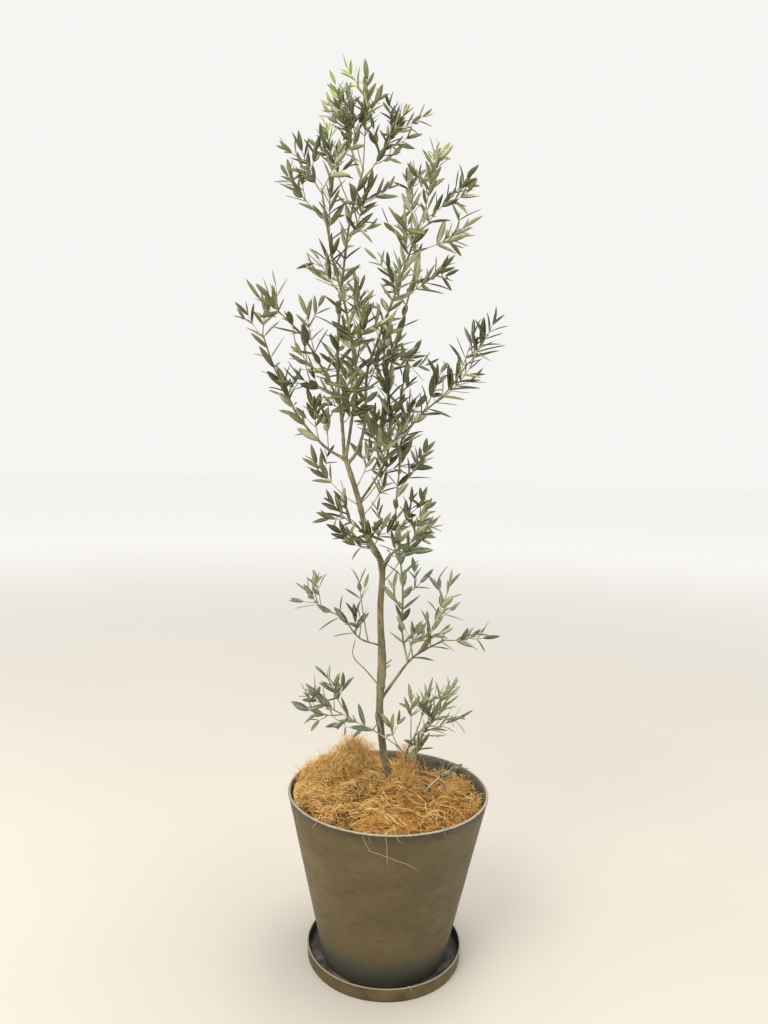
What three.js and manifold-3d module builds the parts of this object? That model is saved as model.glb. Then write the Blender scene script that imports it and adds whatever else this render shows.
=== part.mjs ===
// A young olive tree in a tapered pot with its saucer. Millimetres, +Z up.
// The origin is the middle of the saucer's underside, and -Y is the front.
import * as THREE from "three";
import { mergeVertices } from "three/addons/utils/BufferGeometryUtils.js";
import Module from "manifold-3d";

const wasm = await Module();
wasm.setup();

// Clearance kept wherever one piece is cut to seat on another
const seatGap = 0.3;

// Saucer: a turned dish with a low flared rim
const saucerRimRadius = 145.5;
const saucerBaseRadius = 144;
const saucerHeight = 25;
const saucerWall = 3.5;
const saucerFloor = 5;

// Pot: a tapered tub with a rounded lip, standing in the saucer
const potRimRadius = 187.5;
const potBaseRadius = 117;
const potTop = 320;
const potWall = 6;
const potFloor = 12;
const lipDrop = 7;

// Grower's pot inside it, whose rim shows behind the trunk
const innerPotCentre = [0, 12];
const innerPotRimRadius = 130;
const innerPotBaseRadius = 92;
const innerPotTop = 300;
const innerPotWall = 2.5;
const soilTop = 290;

// Coconut fibre packed round and over the grower's pot
const coirBottom = 232;
const coirLevel = 309;
const coirWallGap = 2;
const coirEdgeDrop = 12;
const coirSides = 28;
const coirHumps = [
  { at: [-62, 85], rise: 42, spread: 34 },
  { at: [-120, 44], rise: 22, spread: 42 },
  { at: [-20, -95], rise: 9, spread: 60 },
  { at: [95, -60], rise: 5, spread: 40 },
  { at: [104, 92], rise: -24, spread: 32 },
  { at: [172, 15], rise: -30, spread: 28 },
  { at: [60, 165], rise: -24, spread: 46 },
  { at: [8, -6], rise: 20, spread: 26 },
  { at: [42, 18], rise: 14, spread: 20 },
];

// Limbs: points on the axis from foot to tip, and the radius at each end
const limbs = {
  trunk: {
    path: [[12, 15, 270], [3, 15, 334], [-9, 15, 374], [-20, 15, 462], [-18, 15, 550],
      [-24, 15, 652], [-24, 15, 738], [-52, 15, 794], [-72, 14, 866], [-97, 12, 938]],
    radii: [7.4, 4.7],
  },
  middle_leader: {
    path: [[-98, 13, 936], [-104, 17, 999], [-114, 20, 1077], [-115, 24, 1190], [-106, 30, 1315],
      [-97, 34, 1385], [-78, 36, 1462]],
    radii: [3.2, 1.6],
  },
  front_leader: {
    path: [[-96, 12, 934], [-88, 9, 990], [-80, 5, 1077], [-88, -6, 1136], [-103, -19, 1212],
      [-126, -33, 1289], [-145, -48, 1396]],
    radii: [3.0, 1.5],
  },
  right_leader: {
    path: [[-92, 12, 926], [-76, 10, 948], [-62, 8, 1000], [-60, 5, 1092], [-40, 0, 1156],
      [-14, -8, 1230], [8, -12, 1296], [36, -18, 1380]],
    radii: [3.0, 1.5],
  },
  left_arm: {
    path: [[-98, 13, 934], [-140, 24, 960], [-192, 42, 1018], [-236, 58, 1100], [-262, 70, 1166]],
    radii: [2.7, 1.4],
  },
  inner_left_arm: {
    path: [[-103, 16, 985], [-108, 6, 1030], [-134, -7, 1084], [-170, -20, 1143], [-205, -30, 1180]],
    radii: [2.2, 1.3],
  },
  back_leader: {
    path: [[-70, 14, 852], [-41, 24, 897], [-20, 40, 940], [-16, 58, 1010], [-19, 63, 1095],
      [6, 65, 1214], [23, 67, 1300], [14, 70, 1380]],
    radii: [2.4, 1.3],
  },
  back_bough: {
    path: [[-105, 17, 1004], [-95, 66, 1056], [-84, 104, 1120], [-74, 122, 1190]],
    radii: [2.2, 1.3],
  },
  right_low_bough: {
    path: [[-20, 15, 480], [5, 8, 521], [32, 0, 562], [56, -8, 584], [96, -16, 608]],
    radii: [3.0, 1.5],
  },
  right_shoot: {
    path: [[30, 1, 559], [18, 7, 616], [16, 13, 706], [0, 20, 830], [4, 29, 914]],
    radii: [1.9, 1.5],
  },
  right_arm: {
    path: [[4, 29, 910], [8, 25, 975], [42, 14, 1020], [88, 0, 1064], [118, -10, 1108]],
    radii: [2.1, 1.3],
  },
  left_low_bough: {
    path: [[-20, 15, 586], [-61, 4, 602], [-92, -8, 640], [-124, -16, 658]],
    radii: [1.7, 1.1],
  },
  low_right_stem: {
    path: [[38, 16, 276], [35, 15, 338], [33, 10, 383], [48, 6, 420]],
    radii: [2.4, 1.5],
  },
  low_left_twig: {
    path: [[33, 10, 378], [12, -6, 404], [-26, -14, 431], [-56, -32, 452], [-90, -54, 478]],
    radii: [1.5, 1.0],
  },
};

// Trunk: the swollen joint, the flare at its foot, the stub of a cut leader and a leafless twig
const trunkSwelling = { at: 548, rise: 2.1, spread: 34 };
const trunkFlare = { rise: 3.2, spread: 26 };
const trunkStub = {
  path: [[-24, 15, 728], [-14, 12, 748], [-6, 9, 762]],
  radii: [4.2, 3.4],
};
const bareTwig = {
  path: [[-21, 15, 508], [-46, 9, 538], [-72, 2, 568], [-69, -10, 602]],
  radii: [1.4, 0.9],
};

// Masses of leaves: the limb and the share of its length where the stem leaves it, where the
// last leaf ends, the share of the stem that is bare, the shoots' reach and how many there are
const masses = {
  top_leaves: { on: "middle_leader", from: 1, tip: [-74, 40, 1664], bare: 0.3, reach: 50, shoots: 3 },
  top_left_leaves: {
    on: "middle_leader", from: 0.97, tip: [-136, 34, 1622], bare: 0.4, reach: 50, shoots: 3,
  },
  top_right_leaves: {
    on: "middle_leader", from: 0.95, tip: [8, -30, 1562], bare: 0.3, reach: 54, shoots: 3,
  },
  upper_left_leaves: {
    on: "middle_leader", from: 0.86, tip: [-156, -10, 1536], bare: 0.5, reach: 44, shoots: 2,
  },
  centre_leaves: { on: "front_leader", from: 1, tip: [-98, -76, 1490], bare: 0.2, reach: 46, shoots: 2 },
  left_top_leaves: {
    on: "front_leader", from: 0.985, tip: [-196, -86, 1484], bare: 0.15, reach: 46, shoots: 2,
  },
  far_left_leaves: {
    on: "front_leader", from: 0.9, tip: [-230, -70, 1440], bare: 0.35, reach: 44, shoots: 2,
  },
  centre_low_leaves: {
    on: "middle_leader", from: 0.74, tip: [-50, -64, 1424], bare: 0.2, reach: 48, shoots: 3,
  },
  right_top_leaves: { on: "right_leader", from: 1, tip: [54, -26, 1512], bare: 0.1, reach: 48, shoots: 3 },
  back_top_leaves: { on: "back_leader", from: 1, tip: [16, 120, 1516], bare: 0.1, reach: 50, shoots: 3 },
  right_side_leaves: {
    on: "right_leader", from: 0.95, tip: [136, -40, 1456], bare: 0.3, reach: 48, shoots: 3,
  },
  right_lower_leaves: {
    on: "right_leader", from: 0.84, tip: [140, 56, 1384], bare: 0.35, reach: 46, shoots: 3,
  },
  right_inner_leaves: {
    on: "right_leader", from: 0.82, tip: [-12, -104, 1352], bare: 0.2, reach: 48, shoots: 3,
  },
  right_middle_leaves: {
    on: "right_leader", from: 0.66, tip: [104, 62, 1316], bare: 0.3, reach: 48, shoots: 3,
  },
  back_middle_leaves: {
    on: "back_leader", from: 0.72, tip: [-44, 140, 1344], bare: 0.2, reach: 52, shoots: 3,
  },
  left_middle_leaves: {
    on: "front_leader", from: 0.62, tip: [-172, -30, 1316], bare: 0.2, reach: 46, shoots: 3,
  },
  back_high_leaves: { on: "back_bough", from: 1, tip: [-96, 186, 1318], bare: 0.1, reach: 58, shoots: 3 },
  back_low_leaves: { on: "back_bough", from: 0.5, tip: [-158, 168, 1150], bare: 0.2, reach: 56, shoots: 3 },
  front_middle_leaves: {
    on: "front_leader", from: 0.42, tip: [-56, -122, 1194], bare: 0.15, reach: 54, shoots: 3,
  },
  front_low_leaves: {
    on: "front_leader", from: 0.16, tip: [-96, -120, 1090], bare: 0.15, reach: 54, shoots: 3,
  },
  right_front_leaves: {
    on: "right_leader", from: 0.36, tip: [8, -104, 1148], bare: 0.15, reach: 52, shoots: 3,
  },
  right_back_leaves: {
    on: "back_leader", from: 0.5, tip: [50, 150, 1160], bare: 0.15, reach: 54, shoots: 3,
  },
  inner_low_leaves: {
    on: "back_leader", from: 0.26, tip: [-60, 150, 1036], bare: 0.15, reach: 52, shoots: 3,
  },
  spur_leaves: { on: "back_leader", from: 0.1, tip: [-8, -50, 1006], bare: 0.3, reach: 48, shoots: 3 },
  right_low_crown_leaves: {
    on: "right_shoot", from: 0.9, tip: [72, 40, 982], bare: 0.2, reach: 44, shoots: 2,
  },
  left_inner_leaves: {
    on: "inner_left_arm", from: 0.2, tip: [-158, -10, 1036], bare: 0.1, reach: 38, shoots: 2,
  },
  left_high_leaves: {
    on: "inner_left_arm", from: 1, tip: [-252, -74, 1232], bare: 0.1, reach: 46, shoots: 3,
  },
  left_upper_leaves: {
    on: "inner_left_arm", from: 0.62, tip: [-184, 46, 1232], bare: 0.3, reach: 46, shoots: 2,
  },
  left_lower_leaves: { on: "left_arm", from: 0.48, tip: [-218, -4, 1108], bare: 0.15, reach: 46, shoots: 2 },
  left_arm_leaves: { on: "left_arm", from: 1, tip: [-262, 96, 1250], bare: 0.1, reach: 42, shoots: 2 },
  left_trunk_leaves: { on: "trunk", from: 0.79, tip: [-138, -52, 874], bare: 0.3, reach: 48, shoots: 3 },
  left_low_leaves: { on: "left_low_bough", from: 1, tip: [-180, -40, 718], bare: 0.1, reach: 44, shoots: 3 },
  near_low_leaves: {
    on: "left_low_bough", from: 0.42, tip: [-72, -24, 684], bare: 0.1, reach: 34, shoots: 1,
  },
  right_low_leaves: {
    on: "right_low_bough", from: 1, tip: [192, -34, 632], bare: 0.1, reach: 42, shoots: 2,
  },
  right_fork_leaves: {
    on: "right_low_bough", from: 0.66, tip: [122, 34, 736], bare: 0.4, reach: 42, shoots: 2,
  },
  knot_leaves: { on: "trunk", from: 0.64, tip: [62, -48, 858], bare: 0.45, reach: 48, shoots: 3 },
  low_left_leaves: { on: "low_left_twig", from: 1, tip: [-158, -92, 544], bare: 0.1, reach: 50, shoots: 3 },
  low_right_leaves: {
    on: "low_right_stem", from: 1, tip: [132, -14, 512], bare: 0.05, reach: 54, shoots: 3,
  },
  right_arm_leaves: { on: "right_arm", from: 1, tip: [178, -58, 1208], bare: 0.05, reach: 46, shoots: 3 },
  rim_shoot_leaves: {
    on: "soil", foot: [44, -6, 280], tip: [152, -20, 398], bare: 0.6, reach: 26, shoots: 1,
    dip: -0.2,
  },
  arm_inner_leaves: { on: "right_arm", from: 0.5, tip: [92, 56, 1136], bare: 0.3, reach: 42, shoots: 2 },
};

// The stem of a mass stops short of its outermost leaf tips and dips by a share of its length,
// which a mass may set for itself
const stemRadii = [1.3, 0.9];
const tipInset = 40;
const stemDip = 0.16;

// Side shoots lean out from the stem, each turned on from the last, and bend upwards
const firstSeed = 11;
const shootRadii = [1.2, 0.9];
const shootLean = 0.85;
const shootTwist = 2.4;
const shootRise = 0.17;
const shootSag = 0.1;
const longestStretch = 42;

// Leaves: width and thickness are shares of the length, and angles are in radians
const leafLength = 62;
const leafWidth = 0.23;
const leafThickness = 0.024;
const leafWidestAt = 0.48;
const leafRootHeight = 1.8;
const leafLean = 0.85;
const leafRoll = 0.5;
const leafPitch = 26;
const lastPairAt = 0.95;
const tipLeafShare = 0.75;
const leafApart = 3;
const leafClear = 1.2;
const limbClear = 1.5;

const barkGrey = { color: 0x8c8468, roughness: 0.9, metalness: 0 };
const shootGreen = { color: 0x8f9562, roughness: 0.8, metalness: 0 };
const leafGreen = { color: 0x5d6b49, roughness: 0.6, metalness: 0 };
const potGrey = { color: 0x4b4a47, roughness: 0.75, metalness: 0 };
const saucerGrey = { color: 0x45464a, roughness: 0.7, metalness: 0 };
const terracotta = { color: 0x9a5a3c, roughness: 0.8, metalness: 0 };
const soilBrown = { color: 0x3a2a1c, roughness: 1, metalness: 0 };
const coirBrown = { color: 0xb98545, roughness: 1, metalness: 0 };

const tree = new THREE.Group();

function addPiece(name, geometry, finish) {
  const mesh = new THREE.Mesh(geometry, new THREE.MeshStandardMaterial(finish));
  mesh.name = name;
  tree.add(mesh);
}

// Booleans

function solid(geometry) {
  geometry.deleteAttribute("normal");
  geometry.deleteAttribute("uv");
  const closed = mergeVertices(geometry, 1e-4);
  const corners = [];
  const index = closed.index.array;
  for (let i = 0; i < index.length; i += 3) {
    const [a, b, c] = [index[i], index[i + 1], index[i + 2]];
    if (a !== b && b !== c && c !== a) {
      corners.push(a, b, c);
    }
  }
  return new wasm.Manifold(new wasm.Mesh({
    numProp: 3,
    vertProperties: new Float32Array(closed.getAttribute("position").array),
    triVerts: new Uint32Array(corners),
  }));
}

// The largest closed body of a cut or joined solid, so that no scrap or sealed hollow is left
function largestBody(shape) {
  const mesh = shape.getMesh();
  const parent = Array.from({ length: mesh.vertProperties.length / 3 }, (_, i) => i);
  const root = (i) => {
    while (parent[i] !== i) {
      parent[i] = parent[parent[i]];
      i = parent[i];
    }
    return i;
  };
  const corners = mesh.triVerts;
  for (let i = 0; i < corners.length; i += 3) {
    parent[root(corners[i])] = root(corners[i + 1]);
    parent[root(corners[i + 1])] = root(corners[i + 2]);
  }
  const count = new Map();
  for (let i = 0; i < corners.length; i += 3) {
    const body = root(corners[i]);
    count.set(body, (count.get(body) ?? 0) + 1);
  }
  const [body] = [...count.entries()].sort((a, b) => b[1] - a[1])[0];
  const kept = [];
  for (let i = 0; i < corners.length; i += 3) {
    if (root(corners[i]) === body) {
      kept.push(corners[i], corners[i + 1], corners[i + 2]);
    }
  }
  const geometry = new THREE.BufferGeometry();
  geometry.setAttribute("position", new THREE.BufferAttribute(mesh.vertProperties, 3));
  geometry.setIndex(kept);
  return geometry;
}

// Turned pieces

function between(from, to, share) {
  return from + (to - from) * share;
}

// A ring of points round an upright axis, from a closed profile of [radius, height] pairs
function turned(profile, sides, centre = [0, 0]) {
  const points = profile.map(([radius, height]) => new THREE.Vector2(radius, height));
  const geometry = new THREE.LatheGeometry(points, sides);
  geometry.rotateX(Math.PI / 2);
  geometry.translate(centre[0], centre[1], 0);
  return geometry;
}

const potFoot = saucerFloor;
const potSpan = potTop - potFoot;
const potRadiusAt = (z) => between(potBaseRadius, potRimRadius, (z - potFoot) / potSpan);

function saucerProfile() {
  const inner = saucerBaseRadius - saucerWall;
  return [
    [0, 0],
    [saucerBaseRadius - 3, 0],
    [saucerBaseRadius, 3],
    [saucerRimRadius - 1, saucerHeight - 2],
    [saucerRimRadius, saucerHeight - 1],
    [saucerRimRadius - 1.5, saucerHeight],
    [saucerRimRadius - saucerWall, saucerHeight - 1],
    [inner + 1, saucerFloor + 2],
    [inner - 2, saucerFloor],
    [0, saucerFloor],
  ];
}

function potProfile() {
  const floorTop = potFoot + potFloor;
  return [
    [0, potFoot],
    [potBaseRadius - 2, potFoot],
    [potBaseRadius, potFoot + 2],
    [potRimRadius - 1.5, potTop - lipDrop],
    [potRimRadius, potTop - 3],
    [potRimRadius - 1.5, potTop - 0.7],
    [potRimRadius - potWall / 2, potTop],
    [potRimRadius - potWall + 0.5, potTop - 1],
    [potRadiusAt(potTop - lipDrop) - potWall, potTop - lipDrop],
    [potRadiusAt(floorTop) - potWall, floorTop],
    [0, floorTop],
  ];
}

addPiece("saucer", turned(saucerProfile(), 40), saucerGrey);
addPiece("pot", turned(potProfile(), 44), potGrey);

const innerPotFoot = potFoot + potFloor;
const innerPotRadiusAt = (z) => between(
  innerPotBaseRadius,
  innerPotRimRadius,
  (z - innerPotFoot) / (innerPotTop - innerPotFoot),
);

const innerPotProfile = [
  [0, innerPotFoot],
  [innerPotBaseRadius, innerPotFoot],
  [innerPotRimRadius, innerPotTop],
  [innerPotRimRadius - innerPotWall, innerPotTop],
  [innerPotBaseRadius - innerPotWall, innerPotFoot + innerPotWall],
  [0, innerPotFoot + innerPotWall],
];
const innerPotSides = 28;
addPiece("inner_pot", turned(innerPotProfile, innerPotSides, innerPotCentre), terracotta);

const soilFoot = innerPotFoot + innerPotWall + seatGap;
const soilInset = innerPotWall + 2 * seatGap;
const soilProfile = [
  [0, soilFoot],
  [innerPotRadiusAt(soilFoot) - soilInset, soilFoot],
  [innerPotRadiusAt(soilTop) - soilInset, soilTop - seatGap],
  [0, soilTop - seatGap],
];
addPiece("soil", turned(soilProfile, innerPotSides, innerPotCentre), soilBrown);

// Everything below the soil's surface, which cuts each foot off flat
const groundDepth = 60;
const underground = solid(new THREE.BoxGeometry(2 * potRimRadius, 2 * potRimRadius, groundDepth)
  .translate(0, 0, soilTop - groundDepth / 2));

// Limbs

const vector = ([x, y, z]) => new THREE.Vector3(x, y, z);

function curveThrough(path) {
  return new THREE.CatmullRomCurve3(path.map(vector), false, "catmullrom", 0.5);
}

// A closed tube along a curve, with its radius given by the share of the length, and its ends
// run on by the overrun
function tube(curve, radiusAt, sides, steps, overrun = 0) {
  const geometry = new THREE.CylinderGeometry(1, 1, 1, sides, steps);
  const frames = curve.computeFrenetFrames(steps);
  const place = geometry.getAttribute("position");
  for (let i = 0; i < place.count; i += 1) {
    const step = Math.round((place.getY(i) + 0.5) * steps);
    const share = step / steps;
    const point = curve.getPointAt(share);
    const beyond = step === steps ? overrun : 0;
    point.addScaledVector(frames.tangents[step], step === 0 ? -overrun : beyond);
    point.addScaledVector(frames.normals[step], place.getX(i) * radiusAt(share));
    point.addScaledVector(frames.binormals[step], -place.getZ(i) * radiusAt(share));
    place.setXYZ(i, point.x, point.y, point.z);
  }
  return geometry;
}

const bell = (distance, spread) => Math.exp(-0.5 * (distance / spread) ** 2);

function limbRadius(name, share) {
  const { radii, curve } = limbs[name];
  let radius = between(radii[0], radii[1], share);
  if (name === "trunk") {
    const height = curve.getPointAt(share).z;
    radius += trunkSwelling.rise * bell(height - trunkSwelling.at, trunkSwelling.spread);
    radius += trunkFlare.rise * Math.exp(-(height - soilTop) / trunkFlare.spread);
  }
  return radius;
}

const stoutRadius = 3.1;
const stoutStep = 26;
const slimStep = 34;
for (const limb of Object.values(limbs)) {
  const stout = limb.radii[0] > stoutRadius;
  limb.curve = curveThrough(limb.path);
  limb.sides = stout ? 8 : 6;
  limb.steps = Math.round(limb.curve.getLength() / (stout ? stoutStep : slimStep)) + 1;
}

function limbSolid(name, grow = 0) {
  const { curve, sides, steps } = limbs[name];
  return solid(tube(curve, (share) => limbRadius(name, share) + grow, sides, steps, grow));
}

// Every limb is cut clear of the ones it grows from, which come before it
const limbSolids = {};
const seats = {};
for (const name of Object.keys(limbs)) {
  let body = limbSolid(name);
  if (name === "trunk") {
    for (const { path, radii } of [trunkStub, bareTwig]) {
      const radiusAt = (share) => between(radii[0], radii[1], share);
      body = body.add(solid(tube(curveThrough(path), radiusAt, 6, path.length)));
    }
  }
  for (const earlier of Object.keys(limbSolids)) {
    body = body.subtract(seats[earlier]);
  }
  limbSolids[name] = body.subtract(underground);
  seats[name] = limbSolid(name, seatGap);
}

// Coconut fibre: a turned plug whose top is heaped, cut clear of the pot and stems inside it

function coirHeight(x, y) {
  let height = coirLevel;
  for (const { at, rise, spread } of coirHumps) {
    height += rise * bell(Math.hypot(x - at[0], y - at[1]), spread);
  }
  return height;
}

function coirPlug() {
  const wallAt = (z) => potRadiusAt(z) - potWall - coirWallGap;
  const shoulder = coirLevel - coirEdgeDrop;
  const topRings = [0.92, 0.76, 0.56, 0.32, 0];
  const profile = [
    [0, coirBottom],
    [wallAt(coirBottom), coirBottom],
    [wallAt(shoulder), shoulder],
    ...topRings.map((share) => [wallAt(shoulder) * share, coirLevel]),
  ];
  const geometry = turned(profile, coirSides);
  const place = geometry.getAttribute("position");
  for (let i = 0; i < place.count; i += 1) {
    const heap = coirHeight(place.getX(i), place.getY(i));
    if (place.getZ(i) > coirLevel - 0.01) {
      place.setZ(i, heap);
    } else if (place.getZ(i) > shoulder - 0.01) {
      const edge = Math.min(heap - coirEdgeDrop, potTop - coirEdgeDrop);
      const share = wallAt(edge) / wallAt(shoulder);
      place.setXYZ(i, place.getX(i) * share, place.getY(i) * share, edge);
    }
  }
  return solid(geometry);
}

// The grower's pot and its soil as one plug, grown by the seat's gap
const plugFoot = coirBottom - 5;
const pottedPlug = solid(turned([
  [0, plugFoot],
  [innerPotRadiusAt(plugFoot) + seatGap, plugFoot],
  [innerPotRimRadius + seatGap, innerPotTop + seatGap],
  [innerPotRimRadius - innerPotWall - seatGap, innerPotTop + seatGap],
  [innerPotRadiusAt(soilTop) - innerPotWall - seatGap, soilTop],
  [0, soilTop],
], innerPotSides, innerPotCentre));

// Masses of leaves

function seeded(seed) {
  let state = seed >>> 0;
  return () => {
    state = (state + 0x6d2b79f5) >>> 0;
    let mixed = Math.imul(state ^ (state >>> 15), state | 1);
    mixed = (mixed + Math.imul(mixed ^ (mixed >>> 7), mixed | 61)) ^ mixed;
    return ((mixed ^ (mixed >>> 14)) >>> 0) / 4294967296;
  };
}

const massNames = Object.keys(masses);
for (const name of massNames) {
  const mass = masses[name];
  const foot = mass.foot ? vector(mass.foot) : limbs[mass.on].curve.getPointAt(mass.from);
  const tip = vector(mass.tip);
  tip.lerp(foot, tipInset / foot.distanceTo(tip));
  const middle = foot.clone().lerp(tip, 0.5);
  middle.z -= (mass.dip ?? stemDip) * foot.distanceTo(tip);
  mass.curve = new THREE.QuadraticBezierCurve3(foot, middle, tip);
  mass.axis = mass.curve.getSpacedPoints(8);
}

// Points on the limbs, close enough together that nothing slips between them
const pointSpacing = 4;
const limbPoints = Object.keys(limbs).flatMap((name) => {
  const { curve } = limbs[name];
  const steps = Math.ceil(curve.getLength() / pointSpacing);
  return curve.getSpacedPoints(steps).map((point, i) => ({ point, radius: limbRadius(name, i / steps) }));
});

function distanceToAxis(point, axis) {
  let nearest = Infinity;
  for (let i = 0; i + 1 < axis.length; i += 1) {
    const along = new THREE.Line3(axis[i], axis[i + 1]);
    const foot = along.closestPointToPoint(point, true, new THREE.Vector3());
    nearest = Math.min(nearest, foot.distanceTo(point));
  }
  return nearest;
}

// True where every point is clear of the limbs and well inside the mass's own space, which is
// where its own stem is nearer, for its reach, than the stem of any other mass
function staysHome(points, name, clear) {
  const { axis, reach } = masses[name];
  return points.every((point) => {
    if (limbPoints.some((limb) => limb.point.distanceTo(point) < limb.radius + clear + limbClear)) {
      return false;
    }
    const own = (distanceToAxis(point, axis) + clear) / reach;
    return massNames.every((other) => {
      const rival = masses[other];
      return other === name || distanceToAxis(point, rival.axis) > rival.reach * own + clear;
    });
  });
}

// Points down the middle of a leaf and on both edges where it is broad
function leafPoints(root, aim, side, length) {
  const rootStretch = 2 * pointSpacing;
  const half = leafWidth * length * 0.5;
  const points = [];
  for (let along = rootStretch; along <= length; along += pointSpacing) {
    points.push(root.clone().addScaledVector(aim, along));
  }
  for (const share of [0.35, 0.5, 0.65]) {
    const middle = root.clone().addScaledVector(aim, share * length);
    points.push(middle.clone().addScaledVector(side, half), middle.addScaledVector(side, -half));
  }
  return points;
}

// A direction square to a shoot, turned round it by an angle from the level
function squareTo(along, turn) {
  return new THREE.Vector3(-along.y, along.x, 0.001).normalize().applyAxisAngle(along, turn);
}

// A pair of leaves set across a shoot, each kept only where it stays in its own space and
// clear of the leaves on the shoots before its own
function leafPair(name, taken, root, along, turn, length, random) {
  const across = squareTo(along, turn);
  const kept = [];
  for (const sign of [-1, 1]) {
    const lean = leafLean * between(0.75, 1.15, random());
    const aim = along.clone().multiplyScalar(Math.cos(lean));
    aim.addScaledVector(across, sign * Math.sin(lean)).normalize();
    const face = along.clone().addScaledVector(aim, -aim.dot(along)).normalize();
    face.applyAxisAngle(aim, between(-leafRoll, leafRoll, random()));
    const side = new THREE.Vector3().crossVectors(face, aim);
    const size = length * between(0.85, 1.12, random());
    const points = leafPoints(root, aim, side, size);
    const free = points.every((point) => taken.every((other) => other.distanceTo(point) > leafApart));
    if (free && staysHome(points, name, leafClear)) {
      kept.push({ root, aim, face, side, size, points });
    }
  }
  return kept;
}

// Where a shoot's rings go: one at each end, two close together at each pair of leaves, whose
// roots lie between them, and more on a long bare stretch
function ringStops(curve, nodes) {
  const halfRoot = Math.min(leafRootHeight / 2 / curve.getLength(), (1 - lastPairAt) / 2);
  const stops = [{ share: 0 }];
  for (const node of [...nodes, { share: 1 + halfRoot }]) {
    const from = stops[stops.length - 1].share;
    const to = node.share - halfRoot;
    const extra = Math.floor(((to - from) * curve.getLength()) / longestStretch);
    for (let i = 1; i <= extra; i += 1) {
      stops.push({ share: between(from, to, i / (extra + 1)) });
    }
    stops.push({ share: to, leaves: node.leaves });
    if (node.leaves) {
      stops.push({ share: node.share + halfRoot });
    }
  }
  return stops;
}

// A leaf drawn out of one side of a shoot, between the corners a to d of that side: a ring of
// four corners at its widest, and then its tip
function drawLeaf(leaf, [a, b, c, d], corners, faces) {
  const half = leafWidth * leaf.size * 0.5;
  const thick = leafThickness * leaf.size * 0.5;
  const rightward = Math.sign(leaf.side.dot(corners[b].clone().sub(corners[a]))) * half;
  const widest = leaf.root.clone().addScaledVector(leaf.aim, leaf.size * leafWidestAt);
  const first = corners.length;
  corners.push(
    widest.clone().addScaledVector(leaf.face, -thick),
    widest.clone().addScaledVector(leaf.side, rightward),
    widest.clone().addScaledVector(leaf.face, thick),
    widest.clone().addScaledVector(leaf.side, -rightward),
    leaf.root.clone().addScaledVector(leaf.aim, leaf.size),
  );
  const [under, right, upper, left, tip] = [0, 1, 2, 3, 4].map((k) => first + k);
  faces.push(a, b, under, b, right, under, b, c, right, c, upper, right);
  faces.push(c, d, upper, d, left, upper, d, a, left, a, under, left);
  faces.push(under, right, tip, right, upper, tip, upper, left, tip, left, under, tip);
}

// A three-sided shoot along a curve, with each leaf drawn out of the side that faces its way
function leafyShoot(curve, radii, nodes) {
  const sides = 3;
  const corners = [];
  const faces = [];
  const stops = ringStops(curve, nodes);
  const normal = new THREE.Vector3(0.3, 0.9, 0.1);
  const ringFaces = [];
  stops.forEach(({ share }, ring) => {
    const along = curve.getTangentAt(share);
    normal.addScaledVector(along, -normal.dot(along)).normalize();
    const binormal = new THREE.Vector3().crossVectors(along, normal);
    const centre = curve.getPointAt(share);
    const radius = between(radii[0], radii[1], share);
    ringFaces.push([]);
    for (let i = 0; i < sides; i += 1) {
      const angle = (i / sides) * Math.PI * 2;
      const corner = centre.clone().addScaledVector(normal, radius * Math.cos(angle));
      corners.push(corner.addScaledVector(binormal, radius * Math.sin(angle)));
      const middle = angle + Math.PI / sides;
      ringFaces[ring].push(normal.clone().multiplyScalar(Math.cos(middle))
        .addScaledVector(binormal, Math.sin(middle)));
    }
  });
  faces.push(0, 2, 1);
  const last = (stops.length - 1) * sides;
  faces.push(last, last + 1, last + 2);
  for (let ring = 0; ring + 1 < stops.length; ring += 1) {
    const rooted = new Map();
    for (const leaf of stops[ring].leaves ?? []) {
      const open = ringFaces[ring].map((out, i) => (rooted.has(i) ? -2 : out.dot(leaf.aim)));
      rooted.set(open.indexOf(Math.max(...open)), leaf);
    }
    for (let i = 0; i < sides; i += 1) {
      const a = ring * sides + i;
      const b = ring * sides + ((i + 1) % sides);
      const c = b + sides;
      const d = a + sides;
      if (rooted.has(i)) {
        drawLeaf(rooted.get(i), [a, b, c, d], corners, faces);
      } else {
        faces.push(a, b, c, a, c, d);
      }
    }
  }
  const geometry = new THREE.BufferGeometry().setFromPoints(corners);
  geometry.setIndex(faces);
  return geometry;
}

// The leaf pairs up a shoot, a quarter turn apart and smaller towards the tip
function pairsUp(name, taken, curve, bareShare, random) {
  const count = Math.max(1, Math.round((curve.getLength() * (1 - bareShare)) / leafPitch));
  const nodes = [];
  for (let i = 1; i <= count; i += 1) {
    const share = between(bareShare, lastPairAt, i / count);
    const size = leafLength * between(1, tipLeafShare, share);
    const [root, along] = [curve.getPointAt(share), curve.getTangentAt(share)];
    const leaves = leafPair(name, taken, root, along, (i * Math.PI) / 2, size, random);
    if (leaves.length > 0) {
      nodes.push({ share, leaves });
    }
  }
  taken.push(...nodes.flatMap((node) => node.leaves.flatMap((leaf) => leaf.points)));
  return nodes;
}

// A side shoot from a share of the stem's length
function sideShoot(stem, share, turn, length) {
  const foot = stem.getPointAt(share);
  const along = stem.getTangentAt(share);
  const tip = foot.clone().addScaledVector(along, length * Math.cos(shootLean));
  tip.addScaledVector(squareTo(along, turn), length * Math.sin(shootLean));
  tip.z += shootRise * length;
  const middle = foot.clone().lerp(tip, 0.5);
  middle.z -= shootSag * length;
  return new THREE.QuadraticBezierCurve3(foot, middle, tip);
}

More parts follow.
